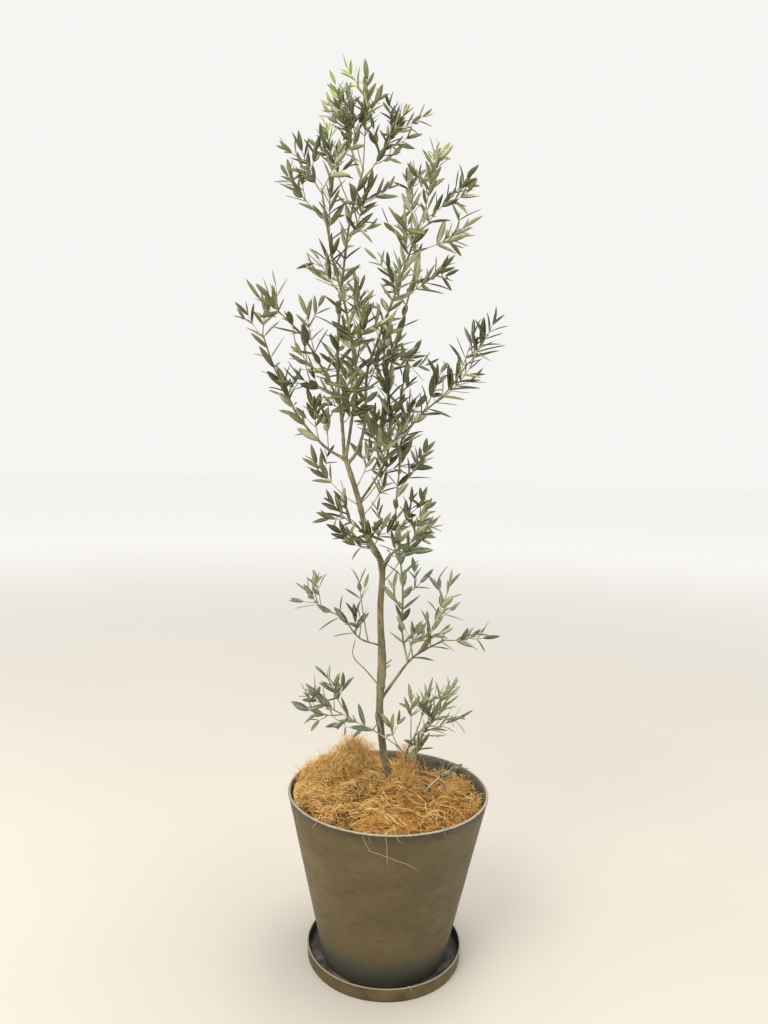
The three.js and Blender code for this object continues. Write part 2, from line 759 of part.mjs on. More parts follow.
function growMass(name, seed) {
  const { curve, bare, reach, shoots, on } = masses[name];
  const random = seeded(seed);
  const taken = [];
  let body = solid(leafyShoot(curve, stemRadii, pairsUp(name, taken, curve, bare, random)));
  let turn = random() * Math.PI * 2;
  for (let i = 0; i < shoots; i += 1) {
    turn += shootTwist;
    const share = between(bare, 0.9, (i + 0.5) / shoots);
    const shoot = sideShoot(curve, share, turn, reach * between(0.7, 1, random()));
    if (staysHome(shoot.getSpacedPoints(10).slice(2), name, shootRadii[0])) {
      body = body.add(solid(leafyShoot(shoot, shootRadii, pairsUp(name, taken, shoot, 0.2, random))));
    }
  }
  return body.subtract(on === "soil" ? underground : seats[on]);
}

// The fibre is cut clear of what stands in it
const rimShootSeat = solid(tube(masses.rim_shoot_leaves.curve, () => 2 * stemRadii[0], 6, 6));
const coir = coirPlug()
  .subtract(pottedPlug)
  .subtract(seats.trunk)
  .subtract(seats.low_right_stem)
  .subtract(rimShootSeat);

addPiece("coir", largestBody(coir), coirBrown);
for (const [name, body] of Object.entries(limbSolids)) {
  const finish = limbs[name].radii[0] < 2 ? shootGreen : barkGrey;
  addPiece(name, largestBody(body), finish);
}
massNames.forEach((name, i) => {
  addPiece(name, largestBody(growMass(name, firstSeed + i)), leafGreen);
});

export default tree;
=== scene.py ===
import math
import random

import bpy
import numpy as np
from mathutils import Matrix, Vector, noise


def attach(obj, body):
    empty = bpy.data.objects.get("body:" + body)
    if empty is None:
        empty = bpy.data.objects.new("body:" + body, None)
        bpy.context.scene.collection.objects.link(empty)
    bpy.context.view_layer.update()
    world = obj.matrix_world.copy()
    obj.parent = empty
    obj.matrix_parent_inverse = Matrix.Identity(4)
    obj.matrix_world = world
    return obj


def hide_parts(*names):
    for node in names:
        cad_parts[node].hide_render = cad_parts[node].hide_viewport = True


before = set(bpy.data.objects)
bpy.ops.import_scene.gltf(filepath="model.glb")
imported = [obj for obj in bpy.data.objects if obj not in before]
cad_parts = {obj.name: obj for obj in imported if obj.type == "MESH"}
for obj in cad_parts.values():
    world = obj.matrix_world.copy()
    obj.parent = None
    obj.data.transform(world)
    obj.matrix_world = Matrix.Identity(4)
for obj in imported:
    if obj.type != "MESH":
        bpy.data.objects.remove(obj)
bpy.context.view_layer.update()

# Saucer
# The real saucer is a low dish cast in the pot's own stone-like resin, matt and dark grey. It
# stands loose on the floor, and its thin rim is rubbed pale along the edge.
MM = 0.001
saucer_rim_radius = 145.5 * MM
saucer_base_radius = 144 * MM
saucer_height = 25 * MM
saucer_wall = 3.5 * MM
saucer_floor = 5 * MM


def edge_arc(centre_radius, centre_height, edge, turns):
    """Rings round a rolled edge, from [angle in degrees] outward, upward and inward."""
    rings = []
    for turn in turns:
        angle = math.radians(turn)
        radius = centre_radius + edge * math.cos(angle)
        rings.append((radius, centre_height + edge * math.sin(angle)))
    return rings


def wall_rings(low, high, count):
    """Rings up or down a straight wall, with both its ends left out."""
    shares = [i / (count + 1) for i in range(1, count + 1)]
    return [(low[0] + (high[0] - low[0]) * s, low[1] + (high[1] - low[1]) * s) for s in shares]


def turned_body(name, rings, sides=144, smooth_angle=50):
    """A closed round body: a disc is extruded and resized from ring to ring."""
    bpy.ops.object.select_all(action="DESELECT")
    bpy.ops.mesh.primitive_circle_add(
        vertices=sides, radius=rings[0][0], fill_type="NGON", location=(0, 0, rings[0][1])
    )
    body = bpy.context.object
    body.name = name
    bpy.ops.object.mode_set(mode="EDIT")
    bpy.ops.mesh.select_all(action="SELECT")
    for (radius, height), (next_radius, next_height) in zip(rings, rings[1:]):
        rise = (0, 0, next_height - height)
        bpy.ops.mesh.extrude_region_move(TRANSFORM_OT_translate={"value": rise})
        share = next_radius / radius
        bpy.ops.transform.resize(value=(share, share, 1), center_override=(0, 0, next_height))
    bpy.ops.mesh.select_all(action="SELECT")
    bpy.ops.mesh.remove_doubles(threshold=0.01 * MM)
    bpy.ops.mesh.normals_make_consistent(inside=False)
    bpy.ops.object.mode_set(mode="OBJECT")
    bpy.ops.object.transform_apply(location=True, rotation=True, scale=True)
    bpy.ops.object.shade_smooth_by_angle(angle=math.radians(smooth_angle))
    return body


def give_finishes(piece, finishes):
    piece.data.materials.clear()
    for finish in finishes:
        piece.data.materials.append(finish)


class Finish:
    """A material under way: its nodes are added one by one and linked to the shader."""

    def __init__(self, name, roughness, specular=0.4):
        self.material = bpy.data.materials.new(name)
        self.material.use_nodes = True
        self.nodes = self.material.node_tree.nodes
        self.links = self.material.node_tree.links
        self.shader = self.nodes["Principled BSDF"]
        self.shader.inputs["Roughness"].default_value = roughness
        self.shader.inputs["Specular IOR Level"].default_value = specular
        self.place = self.nodes.new("ShaderNodeTexCoord").outputs["Object"]

    def grain(self, size, stretch=(1, 1, 1), detail=4.0, roughness=0.55):
        """Noise from 0 to 1, with features of that size in metres, stretched along the axes."""
        mapping = self.nodes.new("ShaderNodeMapping")
        mapping.inputs["Scale"].default_value = [1 / (size * s) for s in stretch]
        self.links.new(self.place, mapping.inputs["Vector"])
        grain = self.nodes.new("ShaderNodeTexNoise")
        grain.inputs["Scale"].default_value = 1.0
        grain.inputs["Detail"].default_value = detail
        grain.inputs["Roughness"].default_value = roughness
        self.links.new(mapping.outputs["Vector"], grain.inputs["Vector"])
        return grain.outputs["Fac"]

    def axis(self, letter):
        """One object coordinate in metres."""
        parts = self.nodes.new("ShaderNodeSeparateXYZ")
        self.links.new(self.place, parts.inputs["Vector"])
        return parts.outputs[letter]

    def sum(self, first, second, factor=1.0):
        """first plus second times factor."""
        node = self.nodes.new("ShaderNodeMath")
        node.operation = "MULTIPLY_ADD"
        self.links.new(second, node.inputs[0])
        node.inputs[1].default_value = factor
        self.links.new(first, node.inputs[2])
        return node.outputs["Value"]

    def between(self, value, low, high):
        """0 below low, 1 above high, smooth in between."""
        node = self.nodes.new("ShaderNodeMapRange")
        node.interpolation_type = "SMOOTHSTEP"
        node.inputs["From Min"].default_value = low
        node.inputs["From Max"].default_value = high
        self.links.new(value, node.inputs["Value"])
        return node.outputs["Result"]

    def blend(self, share, first, second):
        """Two colours mixed by share. Each is a colour or a link."""
        node = self.nodes.new("ShaderNodeMix")
        node.data_type = "RGBA"
        self.links.new(share, node.inputs["Factor"])
        for socket, colour in ((node.inputs[6], first), (node.inputs[7], second)):
            if isinstance(colour, tuple):
                socket.default_value = (*colour, 1)
            else:
                self.links.new(colour, socket)
        return node.outputs[2]

    def two_tone(self, value, low, high, first, second):
        """The first colour where the value is below low, the second where it is above high."""
        return self.blend(self.between(value, low, high), first, second)

    def colour(self, value):
        self.links.new(value, self.shader.inputs["Base Color"])

    def roughen(self, value, low, high):
        """Roughness from low to high as value goes from 0 to 1."""
        node = self.nodes.new("ShaderNodeMapRange")
        node.inputs["To Min"].default_value = low
        node.inputs["To Max"].default_value = high
        self.links.new(value, node.inputs["Value"])
        self.links.new(node.outputs["Result"], self.shader.inputs["Roughness"])

    def relief(self, value, height, strength=1.0):
        """Bump of that height in metres."""
        node = self.nodes.new("ShaderNodeBump")
        node.inputs["Strength"].default_value = strength
        node.inputs["Distance"].default_value = height
        self.links.new(value, node.inputs["Height"])
        self.links.new(node.outputs["Normal"], self.shader.inputs["Normal"])


saucer_dark = (0.066, 0.048, 0.017)
saucer_dusty = (0.122, 0.090, 0.034)
saucer_blue = (0.050, 0.045, 0.034)
worn_edge = (0.29, 0.27, 0.225)

saucer_finish = Finish("saucer_resin", roughness=0.62)
cloudy = saucer_finish.grain(45 * MM)
speckled = saucer_finish.grain(2.2 * MM, detail=2)
body_tone = saucer_finish.two_tone(cloudy, 0.35, 0.7, saucer_dark, saucer_dusty)
body_tone = saucer_finish.two_tone(speckled, 0.56, 0.8, body_tone, saucer_blue)
wear_and_light_mask = saucer_finish.sum(saucer_finish.axis("Z"), saucer_finish.grain(9 * MM), 0.0016)
rubbed_zone = (saucer_height - 0.4 * MM, saucer_height + 0.6 * MM)
saucer_finish.colour(saucer_finish.two_tone(wear_and_light_mask, *rubbed_zone, body_tone, worn_edge))
saucer_finish.roughen(cloudy, 0.5, 0.75)
saucer_finish.relief(speckled, 0.25 * MM, 0.5)

inside_finish = Finish("saucer_inside", roughness=0.6)
cloudy = inside_finish.grain(30 * MM)
# Painted reflections: the pale clouds stand in for light reflected inside the saucer.
inside_and_reflection_tones = ((0.044, 0.041, 0.034), (0.22, 0.205, 0.175))
inside_finish.colour(inside_finish.two_tone(cloudy, 0.42, 0.75, *inside_and_reflection_tones))
inside_finish.roughen(cloudy, 0.45, 0.75)
inside_finish.relief(inside_finish.grain(2.5 * MM, detail=2), 0.25 * MM, 0.5)

saucer_edge = saucer_wall / 2
saucer_foot = [(saucer_base_radius - 3 * MM, 0), (saucer_base_radius - 1 * MM, 0.5 * MM)]
saucer_wall_foot = (saucer_base_radius, 2.5 * MM)
saucer_lip = (saucer_rim_radius - saucer_edge, saucer_height - saucer_edge)
saucer_rings = [
    *saucer_foot,
    saucer_wall_foot,
    *wall_rings(saucer_wall_foot, (saucer_rim_radius - 0.4 * MM, saucer_height - 3 * MM), 5),
    *edge_arc(*saucer_lip, saucer_edge, range(-10, 191, 20)),
    *wall_rings(
        (saucer_rim_radius - saucer_wall - 0.4 * MM, saucer_height - 3 * MM),
        (saucer_base_radius - saucer_wall + 1 * MM, saucer_floor + 3 * MM),
        4,
    ),
    (saucer_base_radius - saucer_wall + 0.4 * MM, saucer_floor + 1.6 * MM),
    (saucer_base_radius - saucer_wall - 1.2 * MM, saucer_floor + 0.4 * MM),
    (saucer_base_radius - saucer_wall - 3 * MM, saucer_floor),
    (saucer_base_radius * 0.5, saucer_floor),
]
saucer = turned_body("saucer_dish", saucer_rings)
give_finishes(saucer, [saucer_finish.material, inside_finish.material])


def paint_hollow(body, finish_index, floor_radius, floor_below):
    """The faces of the inner wall and of the inner floor get the inside finish."""
    for face in body.data.polygons:
        outward = Vector((face.center.x, face.center.y, 0))
        inner_wall = outward.length > 1e-4 and face.normal.dot(outward.normalized()) < -0.5
        level = face.normal.z > 0.9 and outward.length < floor_radius
        inner_floor = level and face.center.z < floor_below
        if inner_wall or inner_floor:
            face.material_index = finish_index


paint_hollow(saucer, 1, saucer_base_radius, saucer_height / 2)
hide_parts("saucer")
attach(saucer, "root")

# Pot
# The real pot is a tapered tub of dark resin that is cast to look like stone: matt, warm grey
# and faintly mottled, bluer and darker towards the foot. Its wall ends in a plain rounded lip,
# worn pale all round, and it simply stands in the saucer.
pot_rim_radius = 187.5 * MM
pot_base_radius = 117 * MM
pot_foot = saucer_floor
pot_top = 320 * MM
pot_wall = 6 * MM
pot_floor = 12 * MM


def pot_radius(height):
    share = (height - pot_foot) / (pot_top - pot_foot)
    return pot_base_radius + (pot_rim_radius - pot_base_radius) * share


pot_edge = 2.7 * MM
pot_lip_low = pot_top - 8 * MM
pot_inner_floor = pot_foot + pot_floor
pot_rings = [
    (pot_base_radius - 3 * MM, pot_foot),
    (pot_base_radius - 0.8 * MM, pot_foot + 0.8 * MM),
    (pot_base_radius, pot_foot + 3 * MM),
    *wall_rings(
        (pot_base_radius, pot_foot + 3 * MM), (pot_radius(pot_lip_low), pot_lip_low), 60
    ),
    (pot_radius(pot_lip_low), pot_lip_low),
    *edge_arc(pot_rim_radius - pot_edge, pot_top - pot_edge, pot_edge, range(-10, 191, 18)),
    (pot_rim_radius - 2 * pot_edge - 0.3 * MM, pot_top - 6 * MM),
    *wall_rings(
        (pot_rim_radius - pot_wall - 1 * MM, pot_top - 8 * MM),
        (pot_radius(pot_inner_floor) - pot_wall, pot_inner_floor),
        24,
    ),
    (pot_radius(pot_inner_floor) - pot_wall, pot_inner_floor),
]
pot = turned_body("pot_tub", pot_rings, sides=180)


def uneven(body, size, height):
    """Casts a surface slightly uneven, as a hand-smoothed mould leaves it."""
    for vertex in body.data.vertices:
        wave = noise.noise(vertex.co / size) + 0.5 * noise.noise(vertex.co / (size * 0.4))
        vertex.co += vertex.normal * wave * height
    body.data.update()


uneven(pot, 55 * MM, 0.35 * MM)

pot_warm = (0.077, 0.054, 0.017)
pot_pale = (0.108, 0.079, 0.028)
pot_shade = (0.054, 0.039, 0.013)
pot_under_lip_shade = (0.042, 0.030, 0.012)
pot_foot_tone = (0.054, 0.054, 0.038)
worn_lip = (0.27, 0.25, 0.205)

pot_finish = Finish("pot_resin", roughness=0.66, specular=0.55)
cloudy = pot_finish.grain(85 * MM, stretch=(1, 1, 0.7), detail=3)
smeared = pot_finish.grain(14 * MM, stretch=(1.6, 1.6, 0.8), detail=6, roughness=0.65)
speckled = pot_finish.grain(1.6 * MM, detail=2)
streaked = pot_finish.grain(7 * MM, stretch=(1, 1, 9), detail=3)
body_tone = pot_finish.two_tone(cloudy, 0.3, 0.7, pot_warm, pot_pale)
body_tone = pot_finish.two_tone(smeared, 0.52, 0.78, body_tone, pot_shade)
body_tone = pot_finish.two_tone(streaked, 0.6, 0.95, body_tone, pot_shade)
body_tone = pot_finish.two_tone(speckled, 0.62, 0.8, body_tone, pot_pale)
# The wall turns darker and bluer towards the foot, up to a cloudy edge.
foot_level = pot_finish.sum(pot_finish.axis("Z"), cloudy, -0.11)
foot_level = pot_finish.sum(foot_level, smeared, -0.05)
body_tone = pot_finish.two_tone(foot_level, -45 * MM, 0.0, pot_foot_tone, body_tone)
# Painted shade: the wall darkens over its top few centimetres, under the lip.
under_lip_shade = pot_finish.sum(pot_finish.axis("Z"), smeared, 0.03)
under_lip_shade_zone = (pot_top - 12 * MM, pot_top + 14 * MM)
body_tone = pot_finish.two_tone(under_lip_shade, *under_lip_shade_zone, body_tone, pot_under_lip_shade)
worn = pot_finish.sum(pot_finish.axis("Z"), pot_finish.grain(11 * MM, detail=5), 0.004)
worn_zone = (pot_top - 0.2 * MM, pot_top + 1.2 * MM)
pot_finish.colour(pot_finish.two_tone(worn, *worn_zone, body_tone, worn_lip))
pot_finish.roughen(smeared, 0.42, 0.75)
pot_finish.relief(pot_finish.sum(speckled, smeared, 2.0), 0.3 * MM, 0.6)

pot_inside_finish = Finish("pot_inside", roughness=0.7)
cloudy = pot_inside_finish.grain(40 * MM)
inner_tones = ((0.052, 0.048, 0.040), (0.100, 0.092, 0.076))
inner_tone = pot_inside_finish.two_tone(cloudy, 0.35, 0.75, *inner_tones)
# Painted light: the inner wall grows paler over the top centimetre below its lip, where more light
# falls.
wear_and_light_mask = pot_inside_finish.between(
    pot_inside_finish.axis("Z"), pot_top - 12 * MM, pot_top - 2 * MM
)
pot_inside_finish.colour(pot_inside_finish.blend(wear_and_light_mask, inner_tone, (0.150, 0.140, 0.115)))
pot_inside_finish.relief(pot_inside_finish.grain(2 * MM, detail=2), 0.3 * MM, 0.5)

give_finishes(pot, [pot_finish.material, pot_inside_finish.material])
paint_hollow(pot, 1, pot_base_radius, pot_top / 2)
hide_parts("pot")
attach(pot, "root")

# Grower's pot and its soil
# The tree still stands in the thin terracotta-coloured pot it was grown in, which is moulded in
# one piece with a rolled rim, set in the tub and packed round with fibre. It leans a little,
# so only the back right of its rim stands clear of the fibre. Dark soil lies under it.
grower_centre = (20 * MM, -8 * MM)
grower_rim_radius = 93 * MM
grower_base_radius = 68 * MM
grower_base = 150 * MM
grower_top = 316 * MM
grower_soil = 280 * MM
grower_lean = 0.085
grower_high_side = math.radians(42)
grower_wall = 2 * MM
grower_lip = 1.6 * MM
grower_edge = 0.6 * MM
grower_under_lip = grower_top - 9 * MM
grower_inside = grower_rim_radius - grower_lip - grower_wall
grower_rings = [
    (grower_base_radius, grower_base),
    (grower_rim_radius - grower_lip, grower_under_lip),
    (grower_rim_radius, grower_under_lip + grower_edge),
    (grower_rim_radius, grower_top - grower_edge),
    (grower_rim_radius - grower_edge, grower_top),
    (grower_inside + grower_edge, grower_top),
    (grower_inside, grower_top - grower_edge),
    (grower_inside - 1.6 * grower_wall, grower_soil),
    (0, grower_soil),
]
grower_pot = turned_body("grower_pot", grower_rings, sides=120, smooth_angle=35)
for vertex in grower_pot.data.vertices:
    high_side = vertex.co.x * math.cos(grower_high_side) + vertex.co.y * math.sin(grower_high_side)
    vertex.co.x += grower_centre[0]
    vertex.co.y += grower_centre[1]
    vertex.co.z += grower_lean * high_side
grower_pot.data.update()

grower_finish = Finish("grower_pot", roughness=0.6)
cloudy = grower_finish.grain(18 * MM)
grower_tones = ((0.27, 0.135, 0.065), (0.40, 0.25, 0.145))
grower_finish.colour(grower_finish.two_tone(cloudy, 0.4, 0.75, *grower_tones))
grower_finish.roughen(cloudy, 0.45, 0.7)
grower_finish.relief(grower_finish.grain(3 * MM), 0.2 * MM, 0.5)
give_finishes(grower_pot, [grower_finish.material])
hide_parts("inner_pot")
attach(grower_pot, "root")

soil_centre = (0, 12 * MM)
soil_radius = 129 * MM
soil_top = 290 * MM
soil_finish = Finish("soil", roughness=0.95, specular=0.2)
crumbs = soil_finish.grain(5 * MM, detail=6, roughness=0.7)
soil_tones = ((0.055, 0.022, 0.010), (0.17, 0.070, 0.028))
soil_finish.colour(soil_finish.two_tone(crumbs, 0.35, 0.7, *soil_tones))
soil_finish.relief(crumbs, 4 * MM, 1.0)
give_finishes(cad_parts["soil"], [soil_finish.material])

# Coconut fibre
# The top is covered with loose coconut fibre, pulled apart by hand and pressed in round the
# stems. It is heaped against the back left of the pot, where wisps stand over the rim, lies
# flat in front, and has sunk away from the wall at the back right.
coir_bottom = 232 * MM
coir_level = 309 * MM
coir_radius = pot_rim_radius - pot_wall - 3.2 * MM
coir_humps = [
    {"at": (-62, 85), "rise": 44, "spread": 34},
    {"at": (-120, 44), "rise": 26, "spread": 42},
    {"at": (-20, -95), "rise": 9, "spread": 60},
    {"at": (95, -60), "rise": 5, "spread": 40},
    {"at": (104, 92), "rise": -24, "spread": 32},
    {"at": (172, 15), "rise": -32, "spread": 28},
    {"at": (60, 165), "rise": -24, "spread": 46},
    {"at": (8, -6), "rise": 20, "spread": 26},
    {"at": (42, 18), "rise": 16, "spread": 20},
]
coir_waves = ({"size": 44, "rise": 10}, {"size": 18, "rise": 8}, {"size": 7, "rise": 2.5})
coir_edge_width = 12 * MM
coir_edge_drop = 7 * MM
coir_hollows = [
    {"at": (-24, -14), "turn": 40, "long": 24, "wide": 9},
    {"at": (-66, -58), "turn": -12, "long": 27, "wide": 10},
    {"at": (56, -62), "turn": 25, "long": 20, "wide": 9},
    {"at": (84, 6), "turn": -30, "long": 22, "wide": 12},
]
hollow_depth = 8 * MM
bare_rim_shows = 5 * MM
rim_cover = 4 * MM
rim_sink = 11 * MM
rim_slope = 11 * MM
sink_start = 5 * MM
sink_slope = 20 * MM
soil_cover = 2.5 * MM
coir_gap = 2.2 * MM


def bell(distance, spread):
    return math.exp(-0.5 * (distance / spread) ** 2)


def hollow_at(x, y):
    """How deep in one of the dark hollows a place lies, from 0 to 1."""
    depth = 0.0
    for hollow in coir_hollows:
        turn = math.radians(hollow["turn"])
        across = x / MM - hollow["at"][0]
        back = y / MM - hollow["at"][1]
        along = (across * math.cos(turn) + back * math.sin(turn)) / hollow["long"]
        aside = (back * math.cos(turn) - across * math.sin(turn)) / hollow["wide"]
        depth = max(depth, math.exp(-0.5 * (along * along + aside * aside)))
    return depth


def past_rim(x, y):
    """How far outside the grower's rim a place is, how bare the rim is there, and its height."""
    across, back = x - grower_centre[0], y - grower_centre[1]
    turn = math.remainder(math.atan2(back, across) - grower_high_side, 2 * math.pi)
    bare = max(0.0, math.cos(min(math.pi / 2, abs(turn)))) ** 1.2
    rim_height = grower_top + grower_lean * grower_rim_radius * math.cos(turn)
    return math.hypot(across, back) - grower_rim_radius, bare, rim_height


def coir_height(x, y):
    """The heaped top of the fibre at a place, in metres."""
    height = coir_level
    for hump in coir_humps:
        away = math.hypot(x / MM - hump["at"][0], y / MM - hump["at"][1])
        height += hump["rise"] * MM * bell(away, hump["spread"])
    from_wall = math.hypot(x, y) - coir_radius + coir_edge_width
    edge = min(1.2, max(0.0, from_wall) / coir_edge_width)
    for wave in coir_waves:
        height += wave["rise"] * MM * noise.noise(Vector((x, y, 0)) / (wave["size"] * MM))
    height -= coir_edge_drop * edge * edge + hollow_depth * hollow_at(x, y)
    from_rim, bare, rim_height = past_rim(x, y)
    close = bell(from_rim, rim_slope)
    if from_rim < 0:
        height += bare * close * (rim_height - bare_rim_shows - height)
    height += (1 - bare) * close * max(0.0, rim_height + rim_cover - height)
    sunk = min(1.0, max(0.0, from_rim / sink_start)) * bell(from_rim, sink_slope)
    past_soil = math.hypot(x - soil_centre[0], y - soil_centre[1]) - soil_radius
    return max(height - rim_sink * sunk * bare, soil_top + soil_cover - max(0.0, past_soil))


def inside_pot(x, y, height):
    """The place itself, or drawn in where it would pass the pot's wall at that height."""
    most = pot_radius(min(height, pot_top)) - pot_wall - coir_gap
    share = min(1.0, most / max(math.hypot(x, y), 1 * MM))
    return x * share, y * share


coir_steps = 46
coir_foot = (coir_radius - 16 * MM, coir_bottom)
coir_rings = [
    coir_foot,
    *wall_rings(coir_foot, (coir_radius - 11 * MM, coir_level - 44 * MM), 2),
    *[(coir_radius * (1 - i / coir_steps), coir_level) for i in range(coir_steps)],
]
coir_mat = turned_body("coir_mat", coir_rings, sides=160)
for vertex in coir_mat.data.vertices:
    if vertex.co.z > coir_level - 0.5 * MM:
        x, y = vertex.co.x, vertex.co.y
        height = coir_height(x, y)
        vertex.co = (*inside_pot(x, y, height), height)
coir_mat.data.update()

mat_finish = Finish("coir_mat", roughness=0.95, specular=0.15)
matted = mat_finish.grain(9 * MM, stretch=(1.6, 0.8, 1), detail=8, roughness=0.75)
patchy = mat_finish.grain(32 * MM, detail=3)
# Coir brown with painted shade: the mat's darkest clouds stand in for shadow in the gaps between
# the fibres.
mat_and_gap_shade = mat_finish.two_tone(matted, 0.38, 0.66, (0.045, 0.018, 0.004), (0.21, 0.095, 0.024))
mat_and_gap_shade = mat_finish.two_tone(patchy, 0.5, 0.7, mat_and_gap_shade, (0.11, 0.042, 0.011))
mat_finish.colour(mat_and_gap_shade)
mat_finish.relief(matted, 5 * MM, 1.0)
give_finishes(coir_mat, [mat_finish.material])
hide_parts("coir")
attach(coir_mat, "root")


class Bundle:
    """Many small closed shapes gathered for one mesh."""

    def __init__(self):
        self.points = []
        self.faces = []
        self.finish_of = []

    def add(self, points, faces, finish_index=0):
        start = len(self.points)
        self.points.extend(points)
        self.faces.extend([tuple(start + i for i in face) for face in faces])
        if isinstance(finish_index, int):
            finish_index = [finish_index] * len(faces)
        self.finish_of.extend(finish_index)

    def tied(self, name, finishes):
        """The finished object. Each face keeps its place in the list of finishes."""
        mesh = bpy.data.meshes.new(name)
        mesh.from_pydata(self.points, [], self.faces)
        piece = bpy.data.objects.new(name, mesh)
        bpy.context.scene.collection.objects.link(piece)
        give_finishes(piece, finishes)
        mesh.polygons.foreach_set("material_index", self.finish_of)
        mesh.polygons.foreach_set("use_smooth", [True] * len(self.faces))
        mesh.update()
        return piece


def unit(vector):
    return vector / np.linalg.norm(vector)


def strand(path, radii, sides):
    """Points and faces of a closed tube along a path of points, with a radius at each."""
    path = np.asarray(path, float)
    along = np.gradient(path, axis=0)
    along /= np.linalg.norm(along, axis=1)[:, None]
    across = unit(np.cross(along[0], (0.31, 0.17, 0.93)))
    turns = np.arange(sides) * 2 * math.pi / sides
    points = []
    for place, direction, radius in zip(path, along, radii):
        across = unit(across - direction * np.dot(across, direction))
        third = np.cross(direction, across)
        ring = place + radius * (np.outer(np.cos(turns), across) + np.outer(np.sin(turns), third))
        points.extend(ring.tolist())
    faces = []
    for ring in range(len(path) - 1):
        for i in range(sides):
            a = ring * sides + i
            b = ring * sides + (i + 1) % sides
            faces.append((a, b, b + sides, a + sides))
    faces.append(tuple(range(sides - 1, -1, -1)))
    last = (len(path) - 1) * sides
    faces.append(tuple(range(last, last + sides)))
    return points, faces


def swirl(x, y):
    """The way the fibre was combed at a place, in radians."""
    return 2.8 * noise.noise(Vector((x, y, 0.3)) / (75 * MM)) + 0.25


def fibre_path(x, y, heading, bend, length, lift, steps):
    """A fibre that lies on the heap, turns by bend, and is lifted off it in its middle."""
    path = []
    for i in range(steps + 1):
        share = i / steps
        from_rim, bare, _ = past_rim(x, y)
        pressed = 1 - bare * bell(from_rim, 9 * MM)
        height = coir_height(x, y) + pressed * lift * math.sin(math.pi * (0.1 + 0.85 * share))
        path.append((*inside_pot(x, y, height), height))
        step = length / steps
        x += math.cos(heading + bend * share) * step
        y += math.sin(heading + bend * share) * step
    return path


def combed(rng, x, y, stray):
    """A fibre's heading: with the swirl or against it, and astray by about that angle."""
    return swirl(x, y) + rng.gauss(0, stray) + rng.choice((0, math.pi))


def lay_fibre(bundle, path, thick, foot_share, tip_share, sides=3):
    """Adds a fibre whose foot and tip are thinner than its middle by those shares."""
    radii = [thick * foot_share] + [thick] * (len(path) - 2) + [thick * tip_share]
    bundle.add(*strand(path, radii, sides))


def kind_at(rng, x, y):
    """Painted light and shade: straw at the back left, rustier in front and in the hollows."""
    back_left_light = min(1.0, max(0.0, 0.55 + (y - x) / (200 * MM)))
    hollow_shade = hollow_at(x, y)
    weights = (4 - 3.6 * hollow_shade, (0.5 + 5 * back_left_light) * (1 - hollow_shade), 3.2 - 2.8 * back_left_light + 12 * hollow_shade)
    return rng.choices(fibre_kinds, weights=weights)[0]


def anywhere(rng):
    turn = rng.uniform(0, 2 * math.pi)
    out = coir_radius * math.sqrt(rng.uniform(0, 1))
    return out * math.cos(turn), out * math.sin(turn)


fibre_colours = {
    "coir_gold": (0.62, 0.34, 0.090),
    "coir_straw": (0.90, 0.65, 0.27),
    "coir_rust": (0.20, 0.078, 0.016),
}
fibre_thickness = {"coir_gold": 1.0, "coir_straw": 1.25, "coir_rust": 0.9}
lock_count = 150
fibres_in_lock = 26
loose_count = 2100
arc_count = 560
fibre_kinds = list(fibre_colours)
fibre_bundles = {kind: Bundle() for kind in fibre_kinds}
rng = random.Random(300)

# Locks: fibres that still hang together as they were pulled off
for _ in range(lock_count):
    x, y = anywhere(rng)
    heading = combed(rng, x, y, 0.4)
    bend = rng.gauss(0, 1.0)
    lock_length = rng.uniform(60, 140) * MM
    half_width = rng.uniform(3, 9) * MM
    rise = rng.uniform(1.5, 11) * (1 - 0.8 * hollow_at(x, y)) * MM
    main_kind = kind_at(rng, x, y)
    for _ in range(fibres_in_lock):
        across = rng.gauss(0, 1)
        x_own = x - math.sin(heading) * across * half_width + rng.gauss(0, 6) * MM
        y_own = y + math.cos(heading) * across * half_width + rng.gauss(0, 6) * MM
        kind = main_kind if rng.random() < 0.7 else kind_at(rng, x, y)
        lift = rise * bell(across, 1) * rng.uniform(0.35, 1.0)
        path = fibre_path(
            x_own, y_own, heading + rng.gauss(0, 0.13), bend * rng.uniform(0.8, 1.2),
            lock_length * rng.uniform(0.45, 1.0), lift, 7,
        )
        thick = rng.uniform(0.24, 0.46) * fibre_thickness[kind] * MM
        lay_fibre(fibre_bundles[kind], path, thick, 0.5, 0.4)

# Loose fibres, most of them lying flat and a few in open loops
for _ in range(loose_count):
    x, y = anywhere(rng)
    heading = combed(rng, x, y, 0.7)
    lift = min(rng.expovariate(1 / 2.6), 11) * MM
    kind = kind_at(rng, x, y)
    path = fibre_path(x, y, heading, rng.gauss(0, 1.2), rng.uniform(20, 80) * MM, lift, 6)
    thick = rng.uniform(0.22, 0.42) * fibre_thickness[kind] * MM
    lay_fibre(fibre_bundles[kind], path, thick, 0.5, 0.4)

# Stout single fibres in open arcs, which catch the light above the dark hollows
for _ in range(arc_count):
    x, y = anywhere(rng)
    if rng.random() < hollow_at(x, y):
        continue
    kind = rng.choice(("coir_straw", "coir_gold", "coir_gold"))
    heading = combed(rng, x, y, 0.45)
    lift = rng.uniform(2, 11) * (1 - 0.7 * hollow_at(x, y)) * MM
    path = fibre_path(x, y, heading, rng.gauss(0, 1.7), rng.uniform(45, 120) * MM, lift, 12)
    thick = rng.uniform(0.26, 0.48) * MM
    lay_fibre(fibre_bundles[kind], path, thick, 0.4, 0.3, sides=4)

